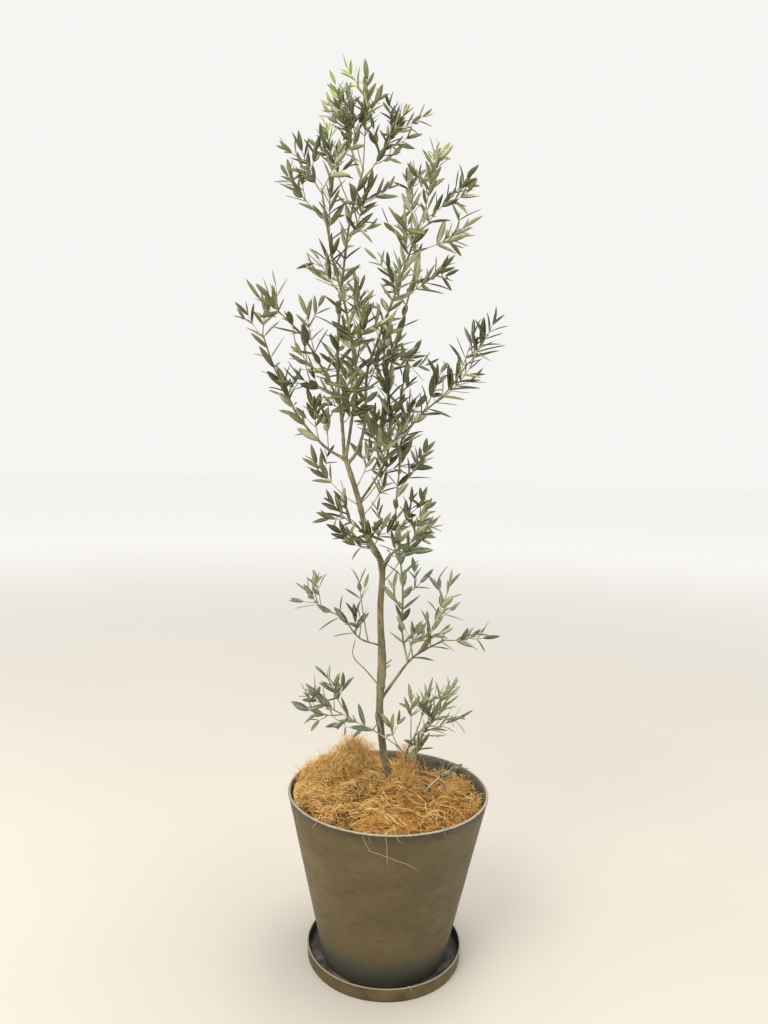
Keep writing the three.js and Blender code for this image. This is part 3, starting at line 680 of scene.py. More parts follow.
for kind, colour in fibre_colours.items():
    fibre_finish = Finish(kind, roughness=0.7, specular=0.3)
    clouds = fibre_finish.grain(12 * MM, detail=2)
    darker = tuple(0.6 * channel for channel in colour)
    fibre_finish.colour(fibre_finish.two_tone(clouds, 0.35, 0.65, darker, colour))
    piece = fibre_bundles[kind].tied(kind, [fibre_finish.material])
    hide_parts("coir")
    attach(piece, "root")

# Wisps of fibre
# Where the fibre is heaped, its loose ends stand up over the pot's rim in soft tufts, and a few
# more have worked out along the wall.
rng = random.Random(311)
wisps = Bundle()
wisp_tufts = [
    {"at": (-66, 90), "spread": 22, "count": 640, "height": 34},
    {"at": (-126, 52), "spread": 26, "count": 520, "height": 26},
    {"at": (-155, 25), "spread": 14, "count": 200, "height": 28},
    {"at": (-150, -30), "spread": 18, "count": 140, "height": 14},
    {"at": (34, 27), "spread": 5.5, "count": 230, "height": 72},
    {"at": (28, 14), "spread": 10, "count": 420, "height": 38},
    {"at": (20, 2), "spread": 14, "count": 260, "height": 18},
    {"at": (118, 66), "spread": 26, "count": 260, "height": 22},
]


def wisp(rng, x, y, heading, rise):
    """A thin fibre that stands up from the heap and leans over towards its heading."""
    drift = rng.uniform(0.3, 0.9) * min(rise, 26 * MM)
    bow = rng.uniform(-0.3, 0.3) * rise
    foot = coir_height(x, y) - 2 * MM
    path = []
    for i in range(6):
        out = drift * (i / 5) ** 1.4
        side = bow * math.sin(math.pi * i / 5)
        height = foot + rise * math.sin(1.75 * i / 5)
        place = (
            x + math.cos(heading) * out - math.sin(heading) * side,
            y + math.sin(heading) * out + math.cos(heading) * side,
        )
        if height < pot_top:
            place = inside_pot(*place, height)
        path.append((*place, height))
    thick = rng.uniform(0.19, 0.36) * MM
    lay_fibre(wisps, path, thick, 1, 0.4)


for tuft in wisp_tufts:
    for _ in range(tuft["count"]):
        x = rng.gauss(tuft["at"][0], tuft["spread"]) * MM
        y = rng.gauss(tuft["at"][1], tuft["spread"]) * MM
        if math.hypot(x, y) < coir_radius - 3 * MM:
            heading = rng.uniform(0, 2 * math.pi)
            wisp(rng, x, y, heading, tuft["height"] * MM * rng.uniform(0.3, 1.0))

# A thin veil of wisps that leans against the pot's wall on the right
veil_count = 320
for _ in range(veil_count):
    turn = rng.uniform(-0.45, 1.25)
    out = coir_radius - rng.uniform(8, 32) * MM
    heading = turn + rng.gauss(0, 1.1)
    rise = min(34, 6 + rng.expovariate(1 / 8)) * MM
    wisp(rng, out * math.cos(turn), out * math.sin(turn), heading, rise)

wisp_finish = Finish("coir_wisp", roughness=0.75, specular=0.3)
clouds = wisp_finish.grain(10 * MM, detail=2)
wisp_tones = ((0.50, 0.295, 0.092), (0.74, 0.51, 0.195))
wisp_finish.colour(wisp_finish.two_tone(clouds, 0.35, 0.65, *wisp_tones))
wisp_piece = wisps.tied("coir_wisps", [wisp_finish.material])
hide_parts("coir")
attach(wisp_piece, "root")

# Rootlets over the rim
# A few dry rootlets have come over the front of the pot and cling to its wall. The longest
# bends twice, and a short one hangs from the saucer's edge.
rootlets = Bundle()
rootlet_routes = [
    [(-12.8, 326), (-13.2, 314), (-11.5, 300), (-9.5, 288), (-4, 283.5), (0.1, 279), (5, 271.5),
     (10.7, 264.5), (15.5, 254), (18.9, 244.4)],
    [(-1.5, 327), (-1.5, 316), (-0.6, 300), (-0.5, 285), (-0.3, 271), (0.6, 258)],
    [(-40.8, 326), (-41.4, 314), (-43.6, 306), (-45.7, 299.9)],
    [(4.0, 325), (4.3, 317), (5.4, 310), (7.2, 306)],
    [(30.1, 326), (30.3, 314), (31.4, 303.5)],
    [(-9.6, 326), (-9.8, 313), (-9.0, 304)],
]
rootlet_radius = 0.42 * MM
rootlet_gap = 0.5 * MM


def round_from_front(angle, out, height):
    """The place at that angle from the front, that far out from the pot's axis."""
    return (out * math.sin(angle), -out * math.cos(angle), height)


def on_wall(degrees, height):
    """A place against the pot's wall, or over its lip where the height is above the top."""
    angle = math.radians(degrees)
    if height > pot_top / MM:
        return round_from_front(angle, pot_rim_radius - 9 * MM, pot_top + 1 * MM)
    return round_from_front(angle, pot_radius(height * MM) + rootlet_gap, height * MM)


for route in rootlet_routes:
    start, *hanging = [on_wall(*place) for place in route]
    lip_angle = math.radians(route[0][0])
    on_lip = round_from_front(lip_angle, pot_rim_radius - 1 * MM, pot_top + 0.3 * MM)
    lay_fibre(rootlets, [start, on_lip, *hanging], rootlet_radius, 1, 0.35, sides=6)
saucer_route = [(-2.5, 26.2), (0.2, 26.0), (0.8, 21.5), (-1.6, 10)]
path = [
    round_from_front(math.radians(17) + 0.018 * i, saucer_rim_radius + out * MM, height * MM)
    for i, (out, height) in enumerate(saucer_route)
]
lay_fibre(rootlets, path, rootlet_radius, 1, 0.4, sides=6)
rootlet_finish = Finish("rootlet", roughness=0.7, specular=0.3)
clouds = rootlet_finish.grain(6 * MM, detail=2)
rootlet_finish.colour(rootlet_finish.blend(clouds, (0.33, 0.24, 0.14), (0.62, 0.50, 0.33)))
rootlet_piece = rootlets.tied("rootlets", [rootlet_finish.material])
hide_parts("coir")
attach(rootlet_piece, "root")

# Trunk and boughs
# The trunk is as thick as a thumb, bends twice and forks at waist height. Young olive bark
# is smooth and grey, olive green on the thin shoots, with rings where leaves once stood, a
# swollen joint low down, and the stubs of leaders that were cut.
limbs = {
    "trunk": {"radii": (7.4, 4.7), "path": [
        (12, 15, 270), (3, 15, 334), (-9, 15, 374), (-20, 15, 462), (-18, 15, 550),
        (-24, 15, 652), (-24, 15, 738), (-52, 15, 794), (-72, 14, 866), (-97, 12, 938),
    ]},
    "middle_leader": {"radii": (3.2, 1.6), "path": [
        (-98, 13, 936), (-104, 17, 999), (-114, 20, 1077), (-115, 24, 1190),
        (-106, 30, 1315), (-97, 34, 1385), (-78, 36, 1462),
    ]},
    "front_leader": {"radii": (3.0, 1.5), "path": [
        (-96, 12, 934), (-88, 9, 990), (-80, 5, 1077), (-88, -6, 1136),
        (-103, -19, 1212), (-126, -33, 1289), (-145, -48, 1396),
    ]},
    "right_leader": {"radii": (3.0, 1.5), "path": [
        (-92, 12, 926), (-76, 10, 948), (-62, 8, 1000), (-60, 5, 1092), (-40, 0, 1156),
        (-14, -8, 1230), (8, -12, 1296), (36, -18, 1380),
    ]},
    "left_arm": {"radii": (2.7, 1.4), "path": [
        (-98, 13, 934), (-140, 24, 960), (-192, 42, 1018), (-236, 58, 1100),
        (-262, 70, 1166),
    ]},
    "inner_left_arm": {"radii": (2.2, 1.3), "path": [
        (-103, 16, 985), (-108, 6, 1030), (-134, -7, 1084), (-170, -20, 1143),
        (-205, -30, 1180),
    ]},
    "back_leader": {"radii": (2.4, 1.3), "path": [
        (-70, 14, 852), (-41, 24, 897), (-20, 40, 940), (-16, 58, 1010), (-19, 63, 1095),
        (6, 65, 1214), (23, 67, 1300), (14, 70, 1380),
    ]},
    "back_bough": {"radii": (2.2, 1.3), "path": [
        (-105, 17, 1004), (-95, 66, 1056), (-84, 104, 1120), (-74, 122, 1190),
    ]},
    "right_low_bough": {"radii": (3.0, 1.5), "path": [
        (-20, 15, 480), (5, 8, 521), (32, 0, 562), (56, -8, 584), (96, -16, 608),
    ]},
    "right_shoot": {"radii": (1.9, 1.5), "path": [
        (30, 1, 559), (18, 7, 616), (16, 13, 706), (0, 20, 830), (4, 29, 914),
    ]},
    "right_arm": {"radii": (2.1, 1.3), "path": [
        (4, 29, 910), (8, 25, 975), (42, 14, 1020), (88, 0, 1064), (118, -10, 1108),
    ]},
    "left_low_bough": {"radii": (1.7, 1.1), "path": [
        (-20, 15, 586), (-61, 4, 602), (-92, -8, 640), (-124, -16, 658),
    ]},
    "low_right_stem": {"radii": (2.4, 1.5), "path": [
        (38, 16, 276), (35, 15, 338), (33, 10, 383), (48, 6, 420),
    ]},
    "low_left_twig": {"radii": (1.5, 1.0), "path": [
        (33, 10, 378), (12, -6, 404), (-26, -14, 431), (-56, -32, 452), (-90, -54, 478),
    ]},
    "bare_twig": {"radii": (1.4, 0.7), "path": [
        (-21, 15, 508), (-46, 9, 538), (-72, 2, 568), (-69, -10, 602),
    ]},
    "cut_leader": {"radii": (4.2, 3.4), "path": [
        (-24, 15, 728), (-14, 12, 748), (-6, 9, 762),
    ]},
    "low_stub": {"radii": (1.5, 1.2), "path": [
        (-18, 13, 550), (-9, 8, 555), (0, 4, 563),
    ]},
    "low_stub_twin": {"radii": (1.4, 1.2), "path": [
        (-18, 12, 543), (-10, 7, 547), (-3, 3, 553),
    ]},
}
swelling = {"at": 548, "rise": 2.1, "spread": 34}
root_flare = {"rise": 3.2, "spread": 26}
collar = {"rise": 0.6, "spread": 6}
joints = {"every": 34, "rise": 0.16, "spread": 2.2}
soil_level = 290
trunk_rings = [
    {"at": 459, "rise": 0.9, "spread": 2.6},
    {"at": 507, "rise": 1.1, "spread": 2.4},
    {"at": 530, "rise": 0.6, "spread": 3.0},
    {"at": 736, "rise": 1.3, "spread": 7.0},
    {"at": 841, "rise": 1.0, "spread": 3.0},
    {"at": 905, "rise": 0.7, "spread": 2.4},
]


def smooth_path(points, spacing):
    """Evenly spaced points on a smooth curve through the given ones, in the same unit."""
    points = np.asarray(points, float)
    ends = [2 * points[0] - points[1], *points, 2 * points[-1] - points[-2]]
    curve = []
    for before, here, there, after in zip(ends, ends[1:], ends[2:], ends[3:]):
        for share in np.linspace(0, 1, 24, endpoint=False):
            out, back = (there - before) / 2, (after - here) / 2
            curve.append(
                here + out * share + (3 * (there - here) - 2 * out - back) * share ** 2
                + (2 * (here - there) + out + back) * share ** 3
            )
    curve.append(points[-1])
    return evenly(np.array(curve), spacing)


def evenly(curve, spacing):
    """The same line with points that are evenly spaced along it."""
    run = np.concatenate([[0], np.cumsum(np.linalg.norm(np.diff(curve, axis=0), axis=1))])
    count = max(3, int(round(run[-1] / spacing)) + 1)
    stops = np.linspace(0, run[-1], count)
    return np.stack([np.interp(stops, run, curve[:, k]) for k in range(3)], axis=1)


def limb_radii(name, path):
    """The radius along a limb: its taper, its joints and the collar it grows out of."""
    foot_radius, tip_radius = limbs[name]["radii"]
    shares = np.linspace(0, 1, len(path))
    radii = foot_radius + (tip_radius - foot_radius) * shares
    run = shares * np.linalg.norm(np.diff(path, axis=0), axis=1).sum()
    if name == "trunk":
        for i, place in enumerate(path):
            radii[i] += swelling["rise"] * bell(place[2] - swelling["at"], swelling["spread"])
            above_soil = place[2] - soil_level
            radii[i] += root_flare["rise"] * math.exp(-above_soil / root_flare["spread"])
            for ring in trunk_rings:
                radii[i] += ring["rise"] * bell(place[2] - ring["at"], ring["spread"])
    elif path[0][2] > soil_level:
        radii += collar["rise"] * foot_radius * np.exp(-run / collar["spread"])
        for place in np.arange(joints["every"], run[-1] - 8, joints["every"]):
            swell = np.exp(-0.5 * ((run - place) / joints["spread"]) ** 2)
            radii += joints["rise"] * foot_radius * swell
    return radii


bark_finish = Finish("bark", roughness=0.72, specular=0.35)
grey_patches = bark_finish.grain(22 * MM, stretch=(1, 1, 2.2), detail=5, roughness=0.6)
furrows = bark_finish.grain(2.6 * MM, stretch=(1, 1, 7), detail=4)
pores = bark_finish.grain(1.3 * MM, stretch=(1.5, 1.5, 0.7), detail=2)
bark_tones = ((0.098, 0.083, 0.040), (0.235, 0.215, 0.122))
bark_tone = bark_finish.two_tone(grey_patches, 0.34, 0.68, *bark_tones)
bark_tone = bark_finish.two_tone(furrows, 0.52, 0.72, bark_tone, (0.052, 0.040, 0.021))
bark_tone = bark_finish.two_tone(pores, 0.64, 0.78, bark_tone, (0.40, 0.37, 0.26))
bark_finish.colour(bark_tone)
bark_finish.relief(bark_finish.sum(furrows, pores, 0.5), 0.6 * MM, 0.8)


def young_bark(name, patch_size, dark, light):
    """The smooth bark of a shoot: two shades in long patches over a fine grain."""
    finish = Finish(name, roughness=0.6, specular=0.4)
    patches = finish.grain(patch_size, stretch=(1, 1, 2), detail=4)
    finish.colour(finish.two_tone(patches, 0.36, 0.66, dark, light))
    finish.relief(finish.grain(1.5 * MM, stretch=(1, 1, 3)), 0.3 * MM, 0.7)
    return finish


green_bark_finish = young_bark(
    "green_bark", 18 * MM, (0.135, 0.112, 0.056), (0.285, 0.270, 0.150)
)
pale_bark_finish = young_bark("pale_bark", 14 * MM, (0.33, 0.30, 0.18), (0.56, 0.53, 0.38))

cut_finish = Finish("cut_wood", roughness=0.85, specular=0.2)
rings = cut_finish.grain(1.6 * MM, detail=3)
cut_finish.colour(cut_finish.blend(rings, (0.20, 0.145, 0.080), (0.52, 0.43, 0.28)))
cut_finish.relief(rings, 0.5 * MM, 0.8)

grey, green, cut, pale = range(4)
cut_limbs = ("cut_leader", "low_stub", "low_stub_twin")
stout_above = 4
green_below = 2
wood = Bundle()
limb_paths = {}
for name, limb in limbs.items():
    stout = limb["radii"][0] > stout_above
    path = smooth_path(limb["path"], 2.2 if stout else 2.8)
    radii = limb_radii(name, path)
    limb_paths[name] = (path, radii)
    sides = 28 if stout else 14
    points, faces = strand(path * MM, radii * MM, sides)
    shaped = []
    for i, point in enumerate(points):
        centre = Vector(path[i // sides] * MM)
        place = Vector(point)
        furrow = Vector((place.x, place.y, place.z / 5)) / (2.4 * MM)
        lumps = noise.noise(place / (13 * MM)) * 0.05 + noise.noise(furrow) * 0.03
        shaped.append(tuple(centre + (place - centre) * (1 + lumps)))
    bark = green if limb["radii"][0] < green_below else grey
    if name == "low_left_twig":
        bark = pale
    finish_of = [bark] * len(faces)
    if name in cut_limbs:
        finish_of[-1] = cut
    wood.add(shaped, faces, finish_of)
wood_finishes = (bark_finish, green_bark_finish, cut_finish, pale_bark_finish)
wood_piece = wood.tied("trunk_and_boughs", [finish.material for finish in wood_finishes])
wood_faces = wood_piece.data.polygons
wood_faces.foreach_set("use_smooth", [len(face.vertices) == 4 for face in wood_faces])
cad_limbs = [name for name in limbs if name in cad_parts]
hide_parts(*cad_limbs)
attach(wood_piece, "root")

# Twigs and leaves
# The crown is open: slim green twigs carry narrow leathery leaves in pairs, each pair a quarter
# turn on from the last. The leaves are dark olive green above and silver grey below, with a
# pale rib, and the youngest at the tips are bright green.

# Each row: the limb it grows on, the share of the limb where it starts, its tip, the share of
# its stem that is bare, the reach of its side shoots, and their number. The masses are the
# model's own. The sprays are smaller, and fill out the crown between them.
masses = {
    "top_leaves": ("middle_leader", 1, (-74, 40, 1664), 0.3, 50, 3),
    "top_left_leaves": ("middle_leader", 0.97, (-136, 34, 1622), 0.4, 50, 3),
    "top_right_leaves": ("middle_leader", 0.95, (8, -30, 1562), 0.3, 54, 3),
    "upper_left_leaves": ("middle_leader", 0.86, (-156, -10, 1536), 0.5, 44, 2),
    "centre_leaves": ("front_leader", 1, (-98, -76, 1490), 0.2, 46, 2),
    "left_top_leaves": ("front_leader", 0.985, (-196, -86, 1484), 0.15, 46, 2),
    "far_left_leaves": ("front_leader", 0.9, (-230, -70, 1440), 0.35, 44, 2),
    "centre_low_leaves": ("middle_leader", 0.74, (-50, -64, 1424), 0.2, 48, 3),
    "right_top_leaves": ("right_leader", 1, (54, -26, 1512), 0.1, 48, 3),
    "back_top_leaves": ("back_leader", 1, (16, 120, 1516), 0.1, 50, 3),
    "right_side_leaves": ("right_leader", 0.95, (136, -40, 1456), 0.3, 48, 3),
    "right_lower_leaves": ("right_leader", 0.84, (140, 56, 1384), 0.35, 46, 3),
    "right_inner_leaves": ("right_leader", 0.82, (-12, -104, 1352), 0.2, 48, 3),
    "right_middle_leaves": ("right_leader", 0.66, (104, 62, 1316), 0.3, 48, 3),
    "back_middle_leaves": ("back_leader", 0.72, (-44, 140, 1344), 0.2, 52, 3),
    "left_middle_leaves": ("front_leader", 0.62, (-172, -30, 1316), 0.2, 46, 3),
    "back_high_leaves": ("back_bough", 1, (-96, 186, 1318), 0.1, 58, 3),
    "back_low_leaves": ("back_bough", 0.5, (-158, 168, 1150), 0.2, 56, 3),
    "front_middle_leaves": ("front_leader", 0.42, (-56, -122, 1194), 0.15, 54, 3),
    "front_low_leaves": ("front_leader", 0.16, (-96, -120, 1090), 0.15, 54, 3),
    "right_front_leaves": ("right_leader", 0.36, (8, -104, 1148), 0.15, 52, 3),
    "right_back_leaves": ("back_leader", 0.5, (50, 150, 1160), 0.15, 54, 3),
    "inner_low_leaves": ("back_leader", 0.26, (-60, 150, 1036), 0.15, 52, 3),
    "spur_leaves": ("back_leader", 0.1, (-8, -50, 1006), 0.3, 48, 3),
    "right_low_crown_leaves": ("right_shoot", 0.9, (72, 40, 982), 0.2, 44, 2),
    "left_inner_leaves": ("inner_left_arm", 0.2, (-158, -10, 1036), 0.1, 38, 2),
    "left_high_leaves": ("inner_left_arm", 1, (-252, -74, 1232), 0.1, 46, 3),
    "left_upper_leaves": ("inner_left_arm", 0.62, (-184, 46, 1232), 0.3, 46, 2),
    "left_lower_leaves": ("left_arm", 0.48, (-218, -4, 1108), 0.15, 46, 2),
    "left_arm_leaves": ("left_arm", 1, (-262, 96, 1250), 0.1, 42, 2),
    "left_trunk_leaves": ("trunk", 0.79, (-138, -52, 874), 0.3, 48, 3),
    "left_low_leaves": ("left_low_bough", 1, (-180, -40, 718), 0.1, 44, 3),
    "near_low_leaves": ("left_low_bough", 0.42, (-72, -24, 684), 0.1, 34, 1),
    "right_low_leaves": ("right_low_bough", 1, (192, -34, 632), 0.1, 42, 2),
    "right_fork_leaves": ("right_low_bough", 0.66, (122, 34, 736), 0.4, 42, 2),
    "knot_leaves": ("trunk", 0.64, (62, -48, 858), 0.45, 48, 3),
    "low_left_leaves": ("low_left_twig", 1, (-158, -92, 544), 0.1, 50, 3),
    "low_right_leaves": ("low_right_stem", 1, (132, -14, 512), 0.05, 54, 3),
    "right_arm_leaves": ("right_arm", 1, (178, -58, 1208), 0.05, 46, 3),
    "rim_shoot_leaves": ("soil", (44, -6, 280), (152, -20, 398), 0.6, 26, 1),
    "arm_inner_leaves": ("right_arm", 0.5, (92, 56, 1136), 0.3, 42, 2),
}
sprays = {
    "top_tuft": ("middle_leader", 1, (-108, 40, 1594), 0.4, 28, 2),
    "top_left_tuft": ("middle_leader", 0.98, (-124, 28, 1584), 0.5, 26, 2),
    "top_right_tuft": ("middle_leader", 0.96, (-8, 8, 1548), 0.5, 26, 3),
    "right_core": ("right_leader", 0.9, (56, 8, 1384), 0.35, 30, 1),
    "inner_arm_high": ("inner_left_arm", 0.46, (-186, -20, 1128), 0.2, 30, 2),
    "inner_arm_low": ("inner_left_arm", 0.32, (-184, -12, 1082), 0.2, 28, 2),
    "front_upper": ("front_leader", 0.82, (-134, -14, 1396), 0.2, 30, 2),
    "arm_tip_low": ("right_arm", 0.86, (128, -16, 1160), 0.2, 26, 1),
    "centre_high": ("back_leader", 0.32, (-26, 30, 1096), 0.3, 30, 2),
    "centre_right": ("back_leader", 0.28, (8, 40, 1078), 0.25, 32, 2),
    "right_fork": ("right_leader", 0.3, (-22, -6, 1186), 0.3, 28, 1),
    "centre_side": ("back_leader", 0.22, (20, 66, 1040), 0.2, 32, 2),
    "centre_front": ("right_shoot", 1, (14, 10, 1012), 0.1, 30, 2),
    "centre_back": ("back_leader", 0.16, (-46, 96, 1020), 0.3, 32, 3),
    "centre_left": ("middle_leader", 0.12, (-78, -16, 1030), 0.3, 26, 2),
    "left_inner_up": ("left_arm", 0.2, (-156, -6, 1026), 0.3, 26, 2),
    "left_inner_low": ("left_arm", 0.12, (-130, -6, 998), 0.4, 24, 2),
    "left_trunk_upper": ("trunk", 0.862, (-154, 62, 925), 0.5, 34, 2),
    "knot_front": ("trunk", 0.745, (-24, -34, 818), 0.35, 38, 3),
    "knot_left": ("trunk", 0.75, (-98, -25, 800), 0.45, 26, 1),
    "fork_low": ("trunk", 0.834, (-20, 58, 896), 0.5, 30, 2),
    "fork_middle": ("trunk", 0.867, (-14, 38, 930), 0.5, 30, 2),
    "fork_high": ("trunk", 0.91, (-50, 38, 946), 0.4, 30, 3),
    "shoot_high": ("right_shoot", 0.68, (52, -20, 846), 0.3, 34, 2),
    "shoot_upright": ("right_shoot", 0.65, (26, -8, 858), 0.4, 28, 1),
    "shoot_side": ("right_shoot", 0.6, (54, 10, 806), 0.3, 30, 2),
    "shoot_low": ("right_shoot", 0.36, (48, -14, 712), 0.35, 28, 1),
    "shoot_front": ("right_shoot", 0.28, (0, -30, 688), 0.4, 28, 1),
    "arm_low": ("right_arm", 0.06, (34, 44, 926), 0.3, 30, 1),
    "bough_rosette": ("right_low_bough", 0.62, (72, -32, 628), 0.5, 26, 3),
    "bough_front": ("right_low_bough", 0.5, (38, -26, 622), 0.5, 24, 2),
    "left_bough_up": ("left_low_bough", 0.2, (-64, -2, 706), 0.6, 24, 1),
    "left_bough_front": ("left_low_bough", 0.35, (-58, -24, 640), 0.4, 24, 1),
    "right_stem_tip": ("low_right_stem", 0.97, (98, -6, 500), 0.35, 30, 3),
    "right_stem_up": ("low_right_stem", 0.93, (68, -12, 500), 0.4, 28, 3),
    "right_stem_side": ("low_right_stem", 0.8, (84, -16, 466), 0.35, 28, 3),
    "right_stem_inner": ("low_right_stem", 0.88, (38, -18, 490), 0.5, 24, 1),
    "right_stem_low": ("low_right_stem", 0.62, (58, -24, 412), 0.3, 30, 2),
    "right_stem_front": ("low_left_twig", 0.12, (0, -30, 446), 0.5, 20, 1),
    "left_twig_up": ("low_left_twig", 0.85, (-112, -60, 540), 0.4, 30, 2),
    "left_twig_low": ("low_left_twig", 0.9, (-92, -62, 462), 0.3, 24, 2),
    "left_twig_side": ("low_left_twig", 0.97, (-146, -62, 484), 0.3, 28, 2),
    "knot_middle": ("trunk", 0.7, (-60, -50, 806), 0.4, 32, 2),
    "knot_right": ("trunk", 0.69, (4, -36, 786), 0.4, 28, 2),
    "arm_middle": ("right_arm", 0.62, (126, 6, 1104), 0.3, 24, 1),
    "left_arm_tip": ("left_arm", 0.97, (-291, 76, 1202), 0.4, 22, 1),
}
tip_inset = 40
stem_dip = 0.16
stem_dips = {"rim_shoot_leaves": -0.2}
stem_radius = 1.25
stem_radii = {"rim_shoot_leaves": 1.9}
shoot_lean = 0.85
shoot_twist = 2.4
shoot_rise = 0.17
shoot_sag = 0.1
leaf_lean = 0.8
tip_leaf_share = 0.72
leaf_zones = (
    {"up_to": 760, "length": 46, "widths": (0.2, 0.29), "pitch": 13.5},
    {"up_to": 1040, "length": 48, "widths": (0.21, 0.3), "pitch": 13.5},
    {"up_to": 1400, "length": 52, "widths": (0.18, 0.27), "pitch": 13.5},
    {"up_to": 2000, "length": 42, "widths": (0.21, 0.3), "pitch": 11.0},
)
slender = {"low_right_leaves", "right_stem_tip", "right_stem_up", "right_stem_side"}
slender_widths = (0.11, 0.17)
slender_lean = 0.6
more_shoots = {
    "top_left_leaves": 3, "top_right_leaves": 3, "upper_left_leaves": 1, "centre_leaves": 1,
    "left_top_leaves": 1, "centre_low_leaves": 1, "right_side_leaves": -1,
    "left_middle_leaves": 1, "front_middle_leaves": 1, "front_low_leaves": -1,
    "right_back_leaves": -1, "inner_low_leaves": 2, "right_low_crown_leaves": -1,
    "left_lower_leaves": -1, "arm_inner_leaves": -2, "right_arm_leaves": -3,
    "low_right_leaves": 1,
}
flat_sprays = {"right_arm_leaves", "arm_inner_leaves", "right_arm", "arm_tip_low", "arm_middle"}
own_space_slack = 1.25
shared_space = 0.15
leaf_clearance = 0.8
twig_spacing = 4.0


def zone_at(height):
    """The leaves' size at a height: broad and short low down, small at the top."""
    return next(zone for zone in leaf_zones if height <= zone["up_to"])


def at_share(path, share):
    """The point and the direction at a share of a path's length."""
    place = share * (len(path) - 1)
    low = min(int(place), len(path) - 2)
    point = path[low] + (path[low + 1] - path[low]) * (place - low)
    return point, unit(path[low + 1] - path[low])


def bowed(foot, middle, tip):
    """A soft bow from foot to tip, drawn towards the middle point."""
    shares = np.linspace(0, 1, 24)[:, None]
    curve = foot * (1 - shares) ** 2 + 2 * middle * shares * (1 - shares) + tip * shares ** 2
    return evenly(curve, twig_spacing)


def turned_about(vector, axis, angle):
    """The vector turned by that angle about a unit axis."""
    along = axis * np.dot(axis, vector) * (1 - math.cos(angle))
    return vector * math.cos(angle) + np.cross(axis, vector) * math.sin(angle) + along


def square_to(along, turn):
    """A direction square to along: level where turn is zero, then turned about along."""
    return turned_about(unit(np.array([-along[1], along[0], 0.001])), along, turn)


stems = {}
for name, (on, start, tip, bare, reach, shoots) in {**masses, **sprays}.items():
    foot = np.array(start, float) if on == "soil" else at_share(limb_paths[on][0], start)[0]
    tip = np.array(tip, float)
    if name in masses:
        tip += (foot - tip) * tip_inset / np.linalg.norm(tip - foot)
    middle = (foot + tip) / 2
    middle[2] -= stem_dips.get(name, stem_dip) * np.linalg.norm(tip - foot)
    stems[name] = bowed(foot, middle, tip)

limb_points = np.concatenate([path for path, _ in limb_paths.values()])
limb_reach = np.concatenate([radii for _, radii in limb_paths.values()])


def stays_home(points, name):
    """True where every point is clear of the limbs and, in a mass, inside the mass's own space."""
    points = np.asarray(points)
    gaps = np.linalg.norm(points[:, None] - limb_points[None], axis=2) - limb_reach
    if gaps.min() < leaf_clearance:
        return False
    if name not in masses:
        return True
    nearest = {}
    for other in masses:
        apart = np.linalg.norm(points[:, None] - stems[other][None], axis=2).min(axis=1)
        nearest[other] = apart / masses[other][4]
    own = nearest.pop(name)
    if own.max() > own_space_slack:
        return False
    rival = np.min(list(nearest.values()), axis=0)
    return bool(np.all(own < rival * own_space_slack + shared_space))


# A leaf is rings of five points, each with two strips of blade and the rib above and two below
leaf_rows = (0.08, 0.2, 0.36, 0.54, 0.74, 0.91)
upper, under, rib = range(3)
leaf_strips = (upper, rib, upper, under, under)
around = len(leaf_strips)
leaf_foot, leaf_tip, first = range(3)
last = first + around * (len(leaf_rows) - 1)
leaf_faces = []
leaf_finish_of = []
for low in range(first, last, around):
    for i, kind in enumerate(leaf_strips):
        j = (i + 1) % around
        leaf_faces.append((low + i, low + j, low + around + j, low + around + i))
        leaf_finish_of.append(kind)
for i, kind in enumerate(leaf_strips):
    j = (i + 1) % around
    leaf_faces += [(leaf_foot, first + j, first + i), (last + i, last + j, leaf_tip)]
    leaf_finish_of += [kind, kind]


stalk_half_width = 0.75
rib_half_width = 0.45
rib_rise = 0.15
keel_depth = 0.55


def leaf_points(root, aim, face, size, width, droop, cup, twist):
    """A narrow leaf: a short stalk, a blade that is widest in the middle, and a blunt tip."""
    points = [root, root + aim * size - face * droop * size]
    for share in leaf_rows:
        up = turned_about(face, aim, twist * (share - 0.3))
        right = np.cross(aim, up)
        half = width * size * 0.5 * math.sin(math.pi * share ** 0.9) ** 0.7
        half = max(stalk_half_width, half)
        centre = root + aim * size * share - face * droop * size * share * share
        raised = up * half * cup
        rib_half = min(rib_half_width, half * 0.3)
        points += [
            centre - right * half + raised,
            centre - right * rib_half + up * rib_rise,
            centre + right * rib_half + up * rib_rise,
            centre + right * half + raised,
            centre - up * keel_depth,
        ]
    return [tuple(point * MM) for point in points]


spray_kinds = ("leaves_dark", "leaves_olive", "leaves_silvery", "leaves_sea", "leaves_young")
shaded_below = 740
leaf_bundles = {kind: Bundle() for kind in spray_kinds}
twig_wood = Bundle()


def spray_kind(rng, height, young=False):
    """Each spray has one shade throughout. Low in the shade the leaves are sea green."""
    if young:
        return "leaves_young"
    weights = (1, 1, 4, 9) if height < shaded_below else (6, 5, 4, 0.4)
    return rng.choices(spray_kinds[:4], weights=weights)[0]


def set_leaf(kind, root, aim, face, size, rng, narrow=False):
    width = rng.uniform(*(slender_widths if narrow else zone_at(root[2])["widths"]))
    droop = rng.uniform(0.1, 0.4) if narrow else rng.uniform(-0.06, 0.14)
    cup, twist = rng.uniform(0.08, 0.35), rng.uniform(-0.5, 0.5)
    points = leaf_points(root, aim, face, size, width, droop, cup, twist)
    leaf_bundles[kind].add(points, leaf_faces, leaf_finish_of)


def next_turn(name, turn, rng):
    """Each pair stands a quarter turn on from the last, or in one plane on the long arm."""
    if name in flat_sprays:
        return math.pi / 2 + rng.gauss(0, 0.35)
    return turn + math.pi / 2 + rng.uniform(-0.25, 0.25)


